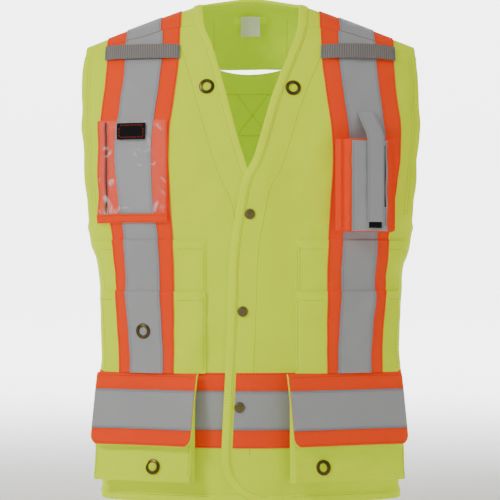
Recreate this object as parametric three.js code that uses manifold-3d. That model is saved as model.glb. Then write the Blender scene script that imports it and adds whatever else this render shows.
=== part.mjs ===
// A surveyor's high visibility vest in its worn shape, closed by three snaps.
// Millimetres, +Z up, the wearer faces -Y. The wearer's left is +X. Heights below are from the hem;
// the finished vest is moved so that the origin lies midway between the neck points of the shoulders.
// The cloth is laid on a body form. A place on it is (x, level): level runs from 0 at the front
// hem to 1 at the chest, 2 on the shoulder ridge, 3 at the back's chest height and 4 at the back hem.
import * as THREE from "three";
import Module from "manifold-3d";
import { mergeVertices } from "three/addons/utils/BufferGeometryUtils.js";

const wasm = await Module();
wasm.setup();

// ---- Driving dimensions ----
const DEG = Math.PI / 180;
const GAP = 0.3;
const CLOTH = 1.2;
const TAPE = 0.6;

const CHEST_HEIGHT = 430;
const PIT_HEIGHT = 355;
const RIDGE_TOP = 710;
const RIDGE_SLOPE = 0.39;
const RIDGE_ROUND = 40;
const NECK_HALF = 71;
const NECK_BACK_DEPTH = 24;
const SEAM_HALF = [[0, 205], [170, 206], [240, 207], [300, 210], [355, 221], [400, 237], [430, 243]];
const CHEST_DEPTH = 120;
const FRONT_DEPTH = [[0, 118], [240, 112], [CHEST_HEIGHT, CHEST_DEPTH]];
const BACK_DEPTH = [[0, 110], [240, 101], [CHEST_HEIGHT, CHEST_DEPTH]];
const CHEST_ROUNDNESS = 2.4;
const FACET_ANGLE = 22.5 * DEG;
const FACET_REACH = 132.7;
const FACET_CRISPNESS = 12;
const ARMHOLE = [[0.826, 220.4], [0.93, 222], [1, 226], [1.17, 230], [1.33, 232], [1.6, 231], [2, 227]];
const YOKE_SEAM_HEIGHT = 597;
const SLIT_HALF = 42;
const SLIT_OPENING = 6;

const LAP_RISE = 6;
const LAP_FULL_AT = 14;
const LAP_NONE_AT = 64;
const LAP_TOP = 1.03;
const LAP_FADE = 0.22;
const OVER_CORNER = 60;
const UNDER_CORNER = 18;
const OVER_EDGE = [[0, -36], [0.15, -36], [0.41, -31], [0.63, -27], [0.79, -24.5], [0.93, -15], [1, -9],
  [1.03, -4], [1.08, 7], [1.284, 30], [1.494, 55], [1.654, 67], [2, NECK_HALF]];
const UNDER_EDGE = [[0, -6], [0.3, -8], [0.6, -12], [0.85, -16], [0.93, -12], [1, -3], [1.03, 4],
  [1.14, 18.5], [1.284, 33], [1.535, 55], [1.654, 65], [2, NECK_HALF]];
const BINDING_WIDTH = 9;
const BINDING_EASE = 0.9;
const NECK_EDGE_GAP = 0.8;
const FACING_WIDTH = 36;
const BODY_START = 70;
const SHOULDER_REACH = 231;

const BRACE = [
  // height, orange inner, silver inner, silver outer, orange outer
  [174, 101, 116, 160, 176], [283, 102, 121, 165, 180], [352, 104, 124, 170, 187],
  [400, 107, 131, 177, 194], [480, 110, 134, 182, 204], [612, 96, 120, 170, 196],
];
const WAIST_ORANGE = [72, 173];
const WAIST_SILVER = [97, 148];
const WAIST_MIDDLE = 120;
const OVER_BAND_COLUMN = 0.34;
const UNDER_BAND_START = 24;
const X_TOP_HALF = 146;
const X_BOTTOM_HALF = 120;
const X_ORANGE_HALF = 54;
const X_SILVER_HALF = 27;

const TOOL_INNER = 60;
const TOOL_TOPS = { upper: 352, lower: 283 };
const TOOL_OFFSET = { upper: 3, lower: 6 };
const TOOL_BOTTOM = 176;
const TOOL_THICK = 0.8;
const TOOL_EDGE_OFFSET = { upper: 2.3, lower: 4 };
const TOOL_HEM_SHARE = 0.14;
const TOOL_SIDE_INSET = 8;
const TOP_CLEAR = 1.5;
const TOP_RAMP = 6;

const MIC_TAB = { low: 597, high: 616, inner: 95, outer: 198, thick: 1.4, proud: 4 };

const CARGO = {
  left: { inner: 50, outer: 202, eyelet: 89 },
  right: { inner: 72, outer: 205, eyelet: 123 },
};
const CARGO_BOTTOM = 26;
const CARGO_MOUTH = 138;
const CARGO_DEPTH = { mouth: 11, bottom: 24 };
const FLAP_TOP = 172;
const FLAP_BOTTOM = 74;
const FLAP_OFFSET = 4;
const FLAP_SPREAD = 23;
const FLAP_THICK = 2;
const FLAP_CORNER = 14;
const EYELET_HEIGHT = 47;

const FLAP_OVERHANG = 3;
const CARGO_CLEAR = 4.2;

const RADIO = {
  centre: 150, seat: 400, width: 84, bottom: 362, top: 487, depth: 28, silver: 50.8, patch: [368, 384],
};
const RADIO_CLEAR = 3.8;
const STRAP = { middle: 8, width: 24, top: 526, bottom: 376, thick: 2, seat: 4 };
const ID_POCKET = {
  inner: 112, outer: 204, bottom: 384, top: 513, seat: 4.4, patchAcross: [140, 178], patchUp: [487, 509],
};

const SNAPS = [["top", -0.8, 387], ["middle", -10.3, 256], ["bottom", -14.4, 127]];
const SNAP_CAP_RADIUS = 7;
const METAL_SEAT = 0.6;
const SNAP_POST = 1.6;
const SOCKET_FLOOR = 3.5;
const SOCKET_ROOF = 4.5;
const SOCKET_RADIUS = 3.75;
const STUD_RADIUS = 2.1;
const STUD_TOP = 4.1;
const EYELET_OUTER = 10.5;
const EYELET_HOLE = 6;
const EYELET_WALL = 0.6;
const EYELET_ROLL = 1;
const BACK_FLANGE = 1.9;
const BACK_FLANGE_THICK = 0.7;
const BACK_FLANGE_WIDTH = 3.4;
const SNAP_BACK_RADIUS = 5.5;
const SNAP_DOME = 2.6;
const STUD_COLLAR = 4.8;
const STUD_PLATE = 0.8;
const PUNCH_CLEAR = 1;
const POST_CLEAR = 0.5;

const LATHE_STEPS = 12;

const TAPE_SEAT = CLOTH + 0.5;
const CROSS_SEAT = TAPE_SEAT + 0.4;
const CROSS_RISE = 2;
const CROSS_START = 2.35;
const CROSS_EASE = 0.15;
const TAPE_STEP = 0.5;
const LABEL = { half: 14, low: 646, high: 673, behind: 5.8, thick: 0.6 };
const LOOP = { half: 24, middle: 666, tall: 9, thick: 1, bulge: 3 };
const CLEAR = { transparent: true, opacity: 0.35 };

const LIME = [0xd9f023, 0.85, 0];
const ORANGE = [0xff5a30, 0.8, 0];
const SILVER = [0xa8a8a8, 0.45, 0.2];
const BRONZE = [0x6b5a30, 0.35, 0.9];
const WEBBING = [0x7f7a75, 0.9, 0];
const BLACK = [0x1c1c1c, 0.9, 0];
const WHITE = [0xdddddd, 0.8, 0];
const VINYL = [0xe8eef0, 0.15, 0];

// ---- Curves and small helpers ----
const clamp = (value, low, high) => Math.min(Math.max(value, low), high);
const mix = (a, b, t) => a + (b - a) * t;
const smooth = (t) => clamp(t, 0, 1) ** 2 * (3 - 2 * clamp(t, 0, 1));
const spread = (count) => Array.from({ length: count + 1 }, (_, i) => i / count);

// A smooth curve through [station, value] pairs, level at its ends.
function through(points) {
  const slope = (i) => {
    if (i === 0 || i === points.length - 1) return 0;
    const [before, after] = [points[i - 1], points[i + 1]];
    return (after[1] - before[1]) / (after[0] - before[0]);
  };
  return (station) => {
    const s = clamp(station, points[0][0], points.at(-1)[0]);
    const i = clamp(points.findIndex((p) => p[0] >= s) - 1, 0, points.length - 2);
    const [[s0, v0], [s1, v1]] = [points[i], points[i + 1]];
    const t = (s - s0) / (s1 - s0);
    const bend = (s1 - s0) * (slope(i) * t * (1 - t) ** 2 - slope(i + 1) * t ** 2 * (1 - t));
    return mix(v0, v1, smooth(t)) + bend;
  };
}

const seamHalf = through(SEAM_HALF);
const frontDepth = through(FRONT_DEPTH);
const backDepth = through(BACK_DEPTH);
const armholeHalf = through(ARMHOLE);
const ridgeHeight = (x) => RIDGE_TOP - RIDGE_SLOPE * Math.hypot(x, RIDGE_ROUND);

// ---- The body form ----
function roundReach(theta, half, depth) {
  const across = Math.abs(Math.sin(theta)) / half;
  const along = Math.abs(Math.cos(theta)) / depth;
  return 1 / (across ** CHEST_ROUNDNESS + along ** CHEST_ROUNDNESS) ** (1 / CHEST_ROUNDNESS);
}

function facetReach(theta, half, depth) {
  const sine = Math.abs(Math.sin(theta));
  const cosine = Math.abs(Math.cos(theta));
  const facet = (sine * Math.sin(FACET_ANGLE) + cosine * Math.cos(FACET_ANGLE)) / FACET_REACH;
  const planes = [sine / half, cosine / depth, facet];
  const sum = planes.reduce((total, plane) => total + plane ** FACET_CRISPNESS, 0);
  return 1 / sum ** (1 / FACET_CRISPNESS);
}

function form(theta, level) {
  const back = level > 2;
  const rise = back ? 4 - level : level;
  const z = Math.min(rise, 1) * CHEST_HEIGHT;
  const half = seamHalf(z);
  const depth = back ? backDepth(z) : frontDepth(z);
  const round = roundReach(theta, half, depth);
  const reach = back ? round : mix(facetReach(theta, half, depth), round, smooth((z - 180) / 150));
  const x = reach * Math.sin(theta);
  const y = reach * Math.cos(theta) * (back ? 1 : -1);
  if (rise <= 1) return new THREE.Vector3(x, y, z);
  const lean = (rise - 1) * 90 * DEG;
  return new THREE.Vector3(x, y * Math.cos(lean), mix(CHEST_HEIGHT, ridgeHeight(x), Math.sin(lean)));
}

function thetaAt(x, level) {
  let low = -90 * DEG;
  let high = 90 * DEG;
  for (let i = 0; i < 32; i += 1) {
    const middle = (low + high) / 2;
    if (form(middle, level).x < x) low = middle;
    else high = middle;
  }
  return (low + high) / 2;
}

function outward(theta, level) {
  const step = 1e-4;
  const side = form(theta + step, level).sub(form(theta - step, level));
  const up = form(theta, level + step).sub(form(theta, level - step));
  return side.cross(up).normalize();
}

function onForm(theta, level, offset) {
  return form(theta, level).addScaledVector(outward(theta, level), offset);
}

const cloth = (x, level, offset) => onForm(thetaAt(x, level), level, offset);

function levelOf(x, z) {
  if (z <= CHEST_HEIGHT) return z / CHEST_HEIGHT;
  const share = clamp((z - CHEST_HEIGHT) / (ridgeHeight(x) - CHEST_HEIGHT), 0, 1);
  return 1 + Math.asin(share) / (90 * DEG);
}

const shoulderSeam = (x) => mix(1.685, 1.76, clamp((Math.abs(x) - 80) / 120, 0, 1));
// How far the upper front stands off the form where it laps over the lower one.
function lapRise(side, x, level) {
  if (side < 0) return 0;
  const across = smooth((LAP_NONE_AT - x) / (LAP_NONE_AT - LAP_FULL_AT));
  return LAP_RISE * across * (1 - smooth((level - LAP_TOP) / LAP_FADE));
}

// ---- Solids ----
function closed(positions, triangles) {
  let volume = 0;
  const corner = (i) => new THREE.Vector3(...positions.slice(3 * i, 3 * i + 3));
  for (let t = 0; t < triangles.length; t += 3) {
    const [a, b, c] = triangles.slice(t, t + 3).map(corner);
    volume += a.dot(b.cross(c));
  }
  const index = volume < 0 ? triangles.slice().reverse() : triangles;
  const geometry = new THREE.BufferGeometry();
  geometry.setAttribute("position", new THREE.Float32BufferAttribute(positions, 3));
  geometry.setIndex(index);
  return geometry;
}

// A sheet whose faces are place(s, r, 0) and place(s, r, 1) for s across and r along.
function sheet(across, along, place) {
  const positions = [];
  const triangles = [];
  for (const face of [0, 1]) {
    for (const r of along) {
      for (const s of across) positions.push(...place(s, r, face).toArray());
    }
  }
  const width = across.length;
  const count = width * along.length;
  const at = (face, j, i) => face * count + j * width + i;
  const quad = (a, b, c, d) => triangles.push(a, b, c, a, c, d);
  for (let j = 0; j + 1 < along.length; j += 1) {
    for (let i = 0; i + 1 < width; i += 1) {
      quad(at(1, j, i), at(1, j, i + 1), at(1, j + 1, i + 1), at(1, j + 1, i));
      quad(at(0, j, i), at(0, j + 1, i), at(0, j + 1, i + 1), at(0, j, i + 1));
    }
    quad(at(0, j, 0), at(1, j, 0), at(1, j + 1, 0), at(0, j + 1, 0));
    quad(at(1, j, width - 1), at(0, j, width - 1), at(0, j + 1, width - 1), at(1, j + 1, width - 1));
  }
  const last = along.length - 1;
  for (let i = 0; i + 1 < width; i += 1) {
    quad(at(0, 0, i), at(0, 0, i + 1), at(1, 0, i + 1), at(1, 0, i));
    quad(at(1, last, i), at(1, last, i + 1), at(0, last, i + 1), at(0, last, i));
  }
  return closed(positions, triangles);
}

// A section of [across, offset] corners carried along [x, level] stations on the cloth.
function edging(stations, section, hand, lift = () => 0) {
  const positions = [];
  const triangles = [];
  const count = section.length;
  stations.forEach(([x, level], k) => {
    const before = stations[Math.max(k - 1, 0)];
    const after = stations[Math.min(k + 1, stations.length - 1)];
    const run = cloth(after[0], after[1], 0).sub(cloth(before[0], before[1], 0)).normalize();
    const theta = thetaAt(x, level);
    const normal = outward(theta, level);
    const inward = new THREE.Vector3().crossVectors(run, normal).multiplyScalar(hand);
    const step = 1e-3;
    const here = form(theta, level);
    const turn = form(theta + step, level).sub(here).divideScalar(step);
    const climb = form(theta, level + step).sub(here).divideScalar(step);
    const [tt, tc, cc] = [turn.dot(turn), turn.dot(climb), climb.dot(climb)];
    const [ti, ci] = [turn.dot(inward), climb.dot(inward)];
    const scale = tt * cc - tc * tc;
    const perTurn = (ti * cc - ci * tc) / scale;
    const perClimb = (ci * tt - ti * tc) / scale;
    for (const [across, offset] of section) {
      const [turned, climbed] = [theta + perTurn * across, level + perClimb * across];
      const rise = lift(form(turned, climbed).x, climbed);
      positions.push(...onForm(turned, climbed, offset + rise).toArray());
    }
  });
  for (let k = 0; k + 1 < stations.length; k += 1) {
    for (let i = 0; i < count; i += 1) {
      const next = (i + 1) % count;
      const [a, b] = [k * count + i, k * count + next];
      triangles.push(a, b, b + count, a, b + count, a + count);
    }
  }
  const outline = section.map(([across, offset]) => new THREE.Vector2(across, offset));
  const end = (stations.length - 1) * count;
  const wound = THREE.ShapeUtils.area(outline) > 0;
  for (const face of THREE.ShapeUtils.triangulateShape(outline.slice(), [])) {
    const [a, b, c] = wound ? face : [...face].reverse();
    const first = wound ? [c, b, a] : [a, b, c];
    triangles.push(...first);
    triangles.push(...first.slice().reverse().map((i) => i + end));
  }
  return closed(positions, triangles);
}

// The same surface with shared corners and its faces turned outward, moved by a matrix.
function oriented(geometry, matrix = new THREE.Matrix4()) {
  const plain = geometry.clone().applyMatrix4(matrix);
  plain.deleteAttribute("normal");
  plain.deleteAttribute("uv");
  const merged = mergeVertices(plain, 1e-4);
  const index = Array.from(merged.index.array);
  const triangles = [];
  for (let t = 0; t < index.length; t += 3) {
    const [a, b, c] = index.slice(t, t + 3);
    if (a !== b && b !== c && c !== a) triangles.push(a, b, c);
  }
  return closed(Array.from(merged.attributes.position.array), triangles);
}

function solidOf(geometry) {
  const plain = geometry.clone();
  plain.deleteAttribute("normal");
  plain.deleteAttribute("uv");
  const merged = mergeVertices(plain, 1e-4);
  return new wasm.Manifold(new wasm.Mesh({
    numProp: 3,
    vertProperties: new Float32Array(merged.attributes.position.array),
    triVerts: new Uint32Array(merged.index.array),
  }));
}

function geometryOf(solid) {
  const mesh = solid.getMesh();
  const geometry = new THREE.BufferGeometry();
  geometry.setAttribute("position", new THREE.BufferAttribute(mesh.vertProperties, 3));
  geometry.setIndex(new THREE.BufferAttribute(mesh.triVerts, 1));
  return geometry;
}

const cut = (body, ...tools) => geometryOf(tools.reduce((rest, tool) => rest.subtract(solidOf(tool)), solidOf(body)));

// A frame whose local Z is the outward normal of the cloth at (x, level).
function standing(x, level, offset) {
  const theta = thetaAt(x, level);
  const normal = outward(theta, level);
  const matrix = new THREE.Matrix4();
  matrix.makeRotationFromQuaternion(new THREE.Quaternion().setFromUnitVectors(new THREE.Vector3(0, 0, 1), normal));
  return matrix.setPosition(onForm(theta, level, offset));
}

function lathed(profile, matrix, steps = LATHE_STEPS) {
  const points = [...profile, profile[0]].map(([r, h]) => new THREE.Vector2(r, h));
  return oriented(new THREE.LatheGeometry(points, steps).rotateX(90 * DEG), matrix);
}

const punch = (matrix, radius) => (
  oriented(new THREE.CylinderGeometry(radius, radius, 30, LATHE_STEPS).rotateX(90 * DEG), matrix));

const MIRROR = new THREE.Matrix4().makeScale(-1, 1, 1);
const sided = (geometry, side) => (side > 0 ? geometry : oriented(geometry, MIRROR));

// ---- Assembly ----
const vest = new THREE.Group();

function add(name, geometry, [color, roughness, metalness], extra = {}) {
  const material = new THREE.MeshStandardMaterial({ color, roughness, metalness, ...extra });
  const mesh = new THREE.Mesh(geometry, material);
  mesh.name = name;
  vest.add(mesh);
  return mesh;
}

const FRONTS = [
  { side: 1, hand: "left", edge: through(OVER_EDGE), corner: OVER_CORNER },
  { side: -1, hand: "right", edge: through(UNDER_EDGE), corner: UNDER_CORNER },
];

// How far the front's free edge lies towards its own side, with its rounded hem corner.
function edgeHalf(front, level) {
  const drop = Math.max(front.corner - level * CHEST_HEIGHT, 0);
  return front.edge(level) + front.corner - Math.sqrt(front.corner ** 2 - drop ** 2);
}

const LOWER_ROWS = [0, 1.5, 6, 14, 28, 60, 120, 180, 240, 300, 335, PIT_HEIGHT, 372, 400];
const UPPER_STEPS = 8;
const HEM_ROW = -1;
const rowOf = (z) => z / CHEST_HEIGHT - 1;
const FRONT_ROWS = [...LOWER_ROWS.map(rowOf), ...spread(UPPER_STEPS)];

// A row below 0 is a level under the chest; from 0 to 1 it climbs to the seam at top(x).
const rowLevel = (row, x, top) => (row < 0 ? row + 1 : 1 + row * (top(x) - 1));

// The cloth's outer limit: the side seam below the armhole, then the armhole's edge.
function outerTheta(row, top, back = false) {
  const level = rowLevel(row, SHOULDER_REACH, top);
  const seam = 90 * DEG - GAP / 2 / seamHalf(Math.min(level, 1) * CHEST_HEIGHT);
  if (level <= PIT_HEIGHT / CHEST_HEIGHT + 1e-6) return seam;
  const flat = Math.min(level, 1);
  return Math.min(seam, thetaAt(armholeHalf(level), back ? 4 - flat : flat));
}

// Columns of a front: 0 is its free edge, 1 the facing's far edge, 2 the start of the flat cloth
// and 3 the side seam or the armhole's edge.
const EDGE_COLUMNS = [0, 0.5, 1];
const SIDE_STEPS = 9;
const SIDE_COLUMNS = [1.5, ...spread(SIDE_STEPS).map((s) => 2 + s)];
const FRONT_COLUMNS = [...EDGE_COLUMNS, ...SIDE_COLUMNS];

function frontPoint(front, column, row, offset) {
  const flat = Math.min(rowLevel(row, 0, shoulderSeam), 1);
  const edge = edgeHalf(front, rowLevel(row, 0, shoulderSeam));
  const facing = edge + FACING_WIDTH;
  const body = Math.max(facing + 8, BODY_START);
  const near = mix(edge, mix(facing, body, clamp(column - 1, 0, 1)), clamp(column, 0, 1));
  const theta = mix(thetaAt(near, flat), outerTheta(row, shoulderSeam), clamp(column - 2, 0, 1));
  const x = form(theta, flat).x;
  const level = rowLevel(row, x, shoulderSeam);
  return onForm(theta * front.side, level, offset + lapRise(front.side, x, level));
}

const layer = (inner, thick) => (face) => inner + face * thick;
const frontSheet = (front, columns, rows, depth) => (
  sheet(columns, rows, (column, row, face) => frontPoint(front, column, row, depth(face))));

const spots = {
  left: { neck: [57.5, 557] },
  right: { neck: [59, 559], waist: [142, 229] },
};

function spotMatrix(front, [half, z], offset = 0) {
  return standing(half * front.side, levelOf(half, z), offset + lapRise(front.side, half, levelOf(half, z)));
}

const snapMatrix = ([, x, z]) => standing(x, levelOf(x, z), 0);

function frontPanel(front) {
  const holes = [punch(spotMatrix(front, spots[front.hand].neck), EYELET_HOLE + PUNCH_CLEAR)];
  for (const snap of SNAPS) holes.push(punch(snapMatrix(snap), SNAP_POST + POST_CLEAR));
  const panel = frontSheet(front, FRONT_COLUMNS, FRONT_ROWS, layer(0, CLOTH));
  add(`front_panel_${front.hand}`, cut(panel, ...holes), LIME);
  const rows = FRONT_ROWS.filter((row) => row >= rowOf(60));
  const facing = frontSheet(front, EDGE_COLUMNS, rows, layer(-GAP - TAPE, TAPE));
  add(`front_facing_${front.hand}`, cut(facing, ...holes), LIME);
}

// A folded binding: one leg outside the cloth, one inside it and its facing, joined round the edge.
const BINDING_OUT = CLOTH + BINDING_EASE;
const BINDING_IN = -GAP - TAPE - BINDING_EASE;
const bindingSection = (edgeGap) => [
  [BINDING_WIDTH, BINDING_OUT + TAPE], [-edgeGap - TAPE, BINDING_OUT + TAPE],
  [-edgeGap - TAPE, BINDING_IN - TAPE], [BINDING_WIDTH, BINDING_IN - TAPE],
  [BINDING_WIDTH, BINDING_IN], [-edgeGap, BINDING_IN],
  [-edgeGap, BINDING_OUT], [BINDING_WIDTH, BINDING_OUT],
];

function edgeBinding(front) {
  const stations = [];
  const lift = (x, level) => lapRise(front.side, x, level);
  const station = (x, level) => stations.push([x * front.side, level]);
  for (const row of FRONT_ROWS.slice().reverse()) {
    const level = rowLevel(row, 0, shoulderSeam);
    station(edgeHalf(front, level), level);
  }
  for (const column of FRONT_COLUMNS.slice(1)) {
    const point = frontPoint(front, column, HEM_ROW, 0);
    station(Math.abs(point.x), 0);
  }
  add(`edge_binding_${front.hand}`, edging(stations, bindingSection(GAP), -front.side, lift), LIME);
}

// ---- Back ----
const BACK_ROWS = [0, 60, 120, 180, 210, 240, 270, 300, 335, PIT_HEIGHT, 372, 400].map(rowOf).concat(spread(7));
const BACK_COLUMNS = spread(18).map((share) => 2 * share - 1);
const seamGap = 2 * GAP / (RIDGE_TOP - CHEST_HEIGHT);

// The back panel's top edge: the yoke seam, dipping along the slit.
function backTop(x) {
  const dip = SLIT_OPENING * Math.max(1 - (x / SLIT_HALF) ** 2, 0);
  return levelOf(x, YOKE_SEAM_HEIGHT - GAP - dip);
}

function backPoint(column, row, offset) {
  const flat = Math.min(rowLevel(row, 0, backTop), 1);
  const theta = column * outerTheta(row, backTop, true);
  const x = form(theta, 4 - flat).x;
  return onForm(theta, 4 - rowLevel(row, x, backTop), offset);
}

const backSheet = (columns, rows, depth) => (
  sheet(columns, rows, (column, row, face) => backPoint(column, row, depth(face))));

// The back neckline in plan, as [x, level] stations from the wearer's left to the right.
function neckline() {
  const front = (x, y) => [x, 1 + Math.acos(clamp(-y / -form(thetaAt(x, 1), 1).y, 0, 1)) / (90 * DEG)];
  const rear = (x, y) => [x, 3 - Math.acos(clamp(y / form(thetaAt(x, 3), 3).y, 0, 1)) / (90 * DEG)];
  const seamX = FRONTS.map(({ side, edge }) => side * edge(shoulderSeam(0)));
  const seamY = form(thetaAt(seamX[0], 1), shoulderSeam(0) + seamGap).y;
  const stations = [];
  for (const share of spread(4)) stations.push(front(mix(seamX[0], NECK_HALF, share), mix(seamY, 0, share)));
  for (const share of spread(12).slice(1, -1)) {
    const turn = mix(90, -90, share) * DEG;
    stations.push(rear(NECK_HALF * Math.sin(turn), NECK_BACK_DEPTH * Math.cos(turn)));
  }
  for (const share of spread(4)) stations.push(front(mix(-NECK_HALF, seamX[1], share), mix(0, seamY, share)));
  return { stations, seamX, seamY };
}

function neckCutter({ seamX, seamY }) {
  const shape = new THREE.Shape();
  shape.moveTo(seamX[0], -200);
  shape.lineTo(seamX[0], seamY);
  for (const share of spread(12)) {
    const turn = mix(90, -90, share) * DEG;
    shape.lineTo(NECK_HALF * Math.sin(turn), NECK_BACK_DEPTH * Math.cos(turn));
  }
  shape.lineTo(seamX[1], seamY);
  shape.lineTo(seamX[1], -200);
  const raised = new THREE.Matrix4().makeTranslation(0, 0, CHEST_HEIGHT);
  return oriented(new THREE.ExtrudeGeometry(shape, { depth: 400, bevelEnabled: false }), raised);
}

function yoke() {
  const bottom = (x) => 4 - levelOf(x, YOKE_SEAM_HEIGHT + GAP);
  const place = (column, row, face) => {
    const along = mix(shoulderSeam(SHOULDER_REACH) + seamGap, bottom(SHOULDER_REACH), row);
    const x = column * armholeHalf(Math.min(along, 4 - along));
    const level = mix(shoulderSeam(x) + seamGap, bottom(x), row);
    return cloth(x, level, face * CLOTH);
  };
  const neck = neckline();
  const body = sheet(spread(16).map((share) => 2 * share - 1), spread(9), place);
  add("back_yoke", cut(body, neckCutter(neck)), LIME);
  add("neck_binding", edging(neck.stations, bindingSection(NECK_EDGE_GAP), 1), LIME);
}

function backBody() {
  add("back_panel", backSheet(BACK_COLUMNS, BACK_ROWS, layer(0, CLOTH)), LIME);
  const hem = BACK_COLUMNS.map((column) => [backPoint(column, HEM_ROW, 0).x, 4]);
  add("back_hem_binding", edging(hem, bindingSection(GAP), 1), LIME);
  const orange = [WAIST_ORANGE[0], WAIST_MIDDLE, WAIST_ORANGE[1]].map(rowOf);
  const silver = [WAIST_SILVER[0], WAIST_MIDDLE, WAIST_SILVER[1]].map(rowOf);
  add("back_waist_orange", backSheet(BACK_COLUMNS, orange, layer(CLOTH + GAP, TAPE)), ORANGE);
  add("back_waist_silver", backSheet(BACK_COLUMNS, silver, layer(CLOTH + GAP + TAPE + TAPE_STEP, TAPE)), SILVER);
}

// A strip from one shoulder's forward seam over the ridge and across to the other side's waist.
function crossTape(side, half, offset) {
  const last = 4 - (WAIST_ORANGE[1] + 2) / CHEST_HEIGHT;
  const rows = [...spread(4).map((t) => t - 1), ...spread(19).slice(1).map((t) => t ** 1.3)];
  const place = (across, row, face) => {
    const turn = clamp((mix(2, last, row) - CROSS_START) / (last - CROSS_START), 0, 1);
    const run = turn ** 2 * (1 + CROSS_EASE) / (turn + CROSS_EASE);
    const x = mix(X_TOP_HALF, -X_BOTTOM_HALF, run) * side + across * mix(half - 3, half, smooth(row * 6));
    const level = row < 0 ? mix(2, shoulderSeam(x) + seamGap, -row) : mix(2, last, row);
    const over = side < 0 ? CROSS_RISE * smooth((level - 2.1) / 0.3) : 0;
    return cloth(x, level, offset + over + face * TAPE);
  };
  return sheet(spread(6).map((share) => 2 * share - 1), rows, place);
}

function crossTapes() {
  for (const [hand, side] of [["left", 1], ["right", -1]]) {
    add(`back_x_orange_${hand}`, crossTape(side, X_ORANGE_HALF, CROSS_SEAT), ORANGE);
    add(`back_x_silver_${hand}`, crossTape(side, X_SILVER_HALF, CROSS_SEAT + TAPE + TAPE_STEP), SILVER);
  }
}

// The size label and the hang loop inside the back of the neck.
function neckFittings() {
  const low = levelOf(0, LABEL.low);
  const high = levelOf(0, LABEL.high);
  const label = (s, r, face) => (
    cloth(s * LABEL.half, 4 - mix(low, high, r), -LABEL.behind + face * LABEL.thick));
  add("size_label", sheet([-1, 0, 1], spread(2), label), WHITE);
  const loop = (s, r, face) => {
    const bulge = LOOP.bulge * (1 - s * s);
    const level = 4 - levelOf(0, LOOP.middle + (r - 0.5) * LOOP.tall);
    return cloth(s * LOOP.half, level, -2 * TAPE_STEP - bulge - (1 - face) * LOOP.thick);
  };
  add("hang_loop", sheet(spread(8).map((t) => 2 * t - 1), [0, 1], loop), LIME);
}

// ---- Tapes on the fronts ----
const [braceOuterIn, braceSilverIn, braceSilverOut, braceOuterOut] = [1, 2, 3, 4].map((k) => (
  through(BRACE.map((row) => [row[0], row[k]]))));

// How far the cloth that carries the tape stands off: the panel, then each tool pocket.
function carrier(z) {
  const step = (top) => 1 - smooth((z - top - TOP_CLEAR) / TOP_RAMP);
  const upper = TOOL_OFFSET.upper + TOOL_THICK - CLOTH;
  const lower = TOOL_OFFSET.lower - TOOL_OFFSET.upper;
  return CLOTH + upper * step(TOOL_TOPS.upper) + lower * step(TOOL_TOPS.lower);
}

const BRACE_ROWS = [TOOL_BOTTOM, 228, TOOL_TOPS.lower - 2, TOOL_TOPS.lower + TOP_CLEAR,
  TOOL_TOPS.lower + TOP_CLEAR + TOP_RAMP, 318, TOOL_TOPS.upper - 2, TOOL_TOPS.upper + TOP_CLEAR,
  TOOL_TOPS.upper + TOP_CLEAR + TOP_RAMP, 380, 400].map(rowOf).concat(spread(UPPER_STEPS));

function brace(front, inner, outer, lift) {
  const place = (s, row, face) => {
    const level = rowLevel(row, X_TOP_HALF, shoulderSeam);
    const z = form(thetaAt(X_TOP_HALF, level), level).z;
    const x = mix(inner(z), outer(z), s);
    const height = rowLevel(row, x, shoulderSeam);
    return cloth(x * front.side, height, carrier(z) + lift + face * TAPE);
  };
  return sheet(spread(6), BRACE_ROWS, place);
}

function frontTapes(front) {
  const waist = front.side > 0 ? OVER_BAND_COLUMN : (UNDER_BAND_START - front.edge(0.3)) / FACING_WIDTH;
  const columns = [waist, ...FRONT_COLUMNS.filter((column) => column > waist + 0.05)];
  const orange = [WAIST_ORANGE[0], WAIST_MIDDLE, WAIST_ORANGE[1]].map(rowOf);
  const silver = [WAIST_SILVER[0], WAIST_MIDDLE, WAIST_SILVER[1]].map(rowOf);
  const lowSnap = punch(snapMatrix(SNAPS[2]), SNAP_POST + POST_CLEAR);
  const cutSnap = (geometry) => (front.side > 0 ? cut(geometry, lowSnap) : geometry);
  const band = frontSheet(front, columns, orange, layer(CLOTH + GAP, TAPE));
  const shine = frontSheet(front, columns, silver, layer(CLOTH + GAP + TAPE + TAPE_STEP, TAPE));
  add(`waist_orange_${front.hand}`, cutSnap(band), ORANGE);
  add(`waist_silver_${front.hand}`, cutSnap(shine), SILVER);
  const waistEyelet = spots[front.hand].waist;
  const pierced = (geometry) => (
    waistEyelet ? cut(geometry, punch(spotMatrix(front, waistEyelet), EYELET_HOLE + PUNCH_CLEAR)) : geometry);
  const seat = TAPE_SEAT - CLOTH;
  add(`brace_orange_${front.hand}`, pierced(brace(front, braceOuterIn, braceOuterOut, seat)), ORANGE);
  add(`brace_silver_${front.hand}`, pierced(brace(front, braceSilverIn, braceSilverOut, seat + TAPE + GAP)), SILVER);
}

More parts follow.
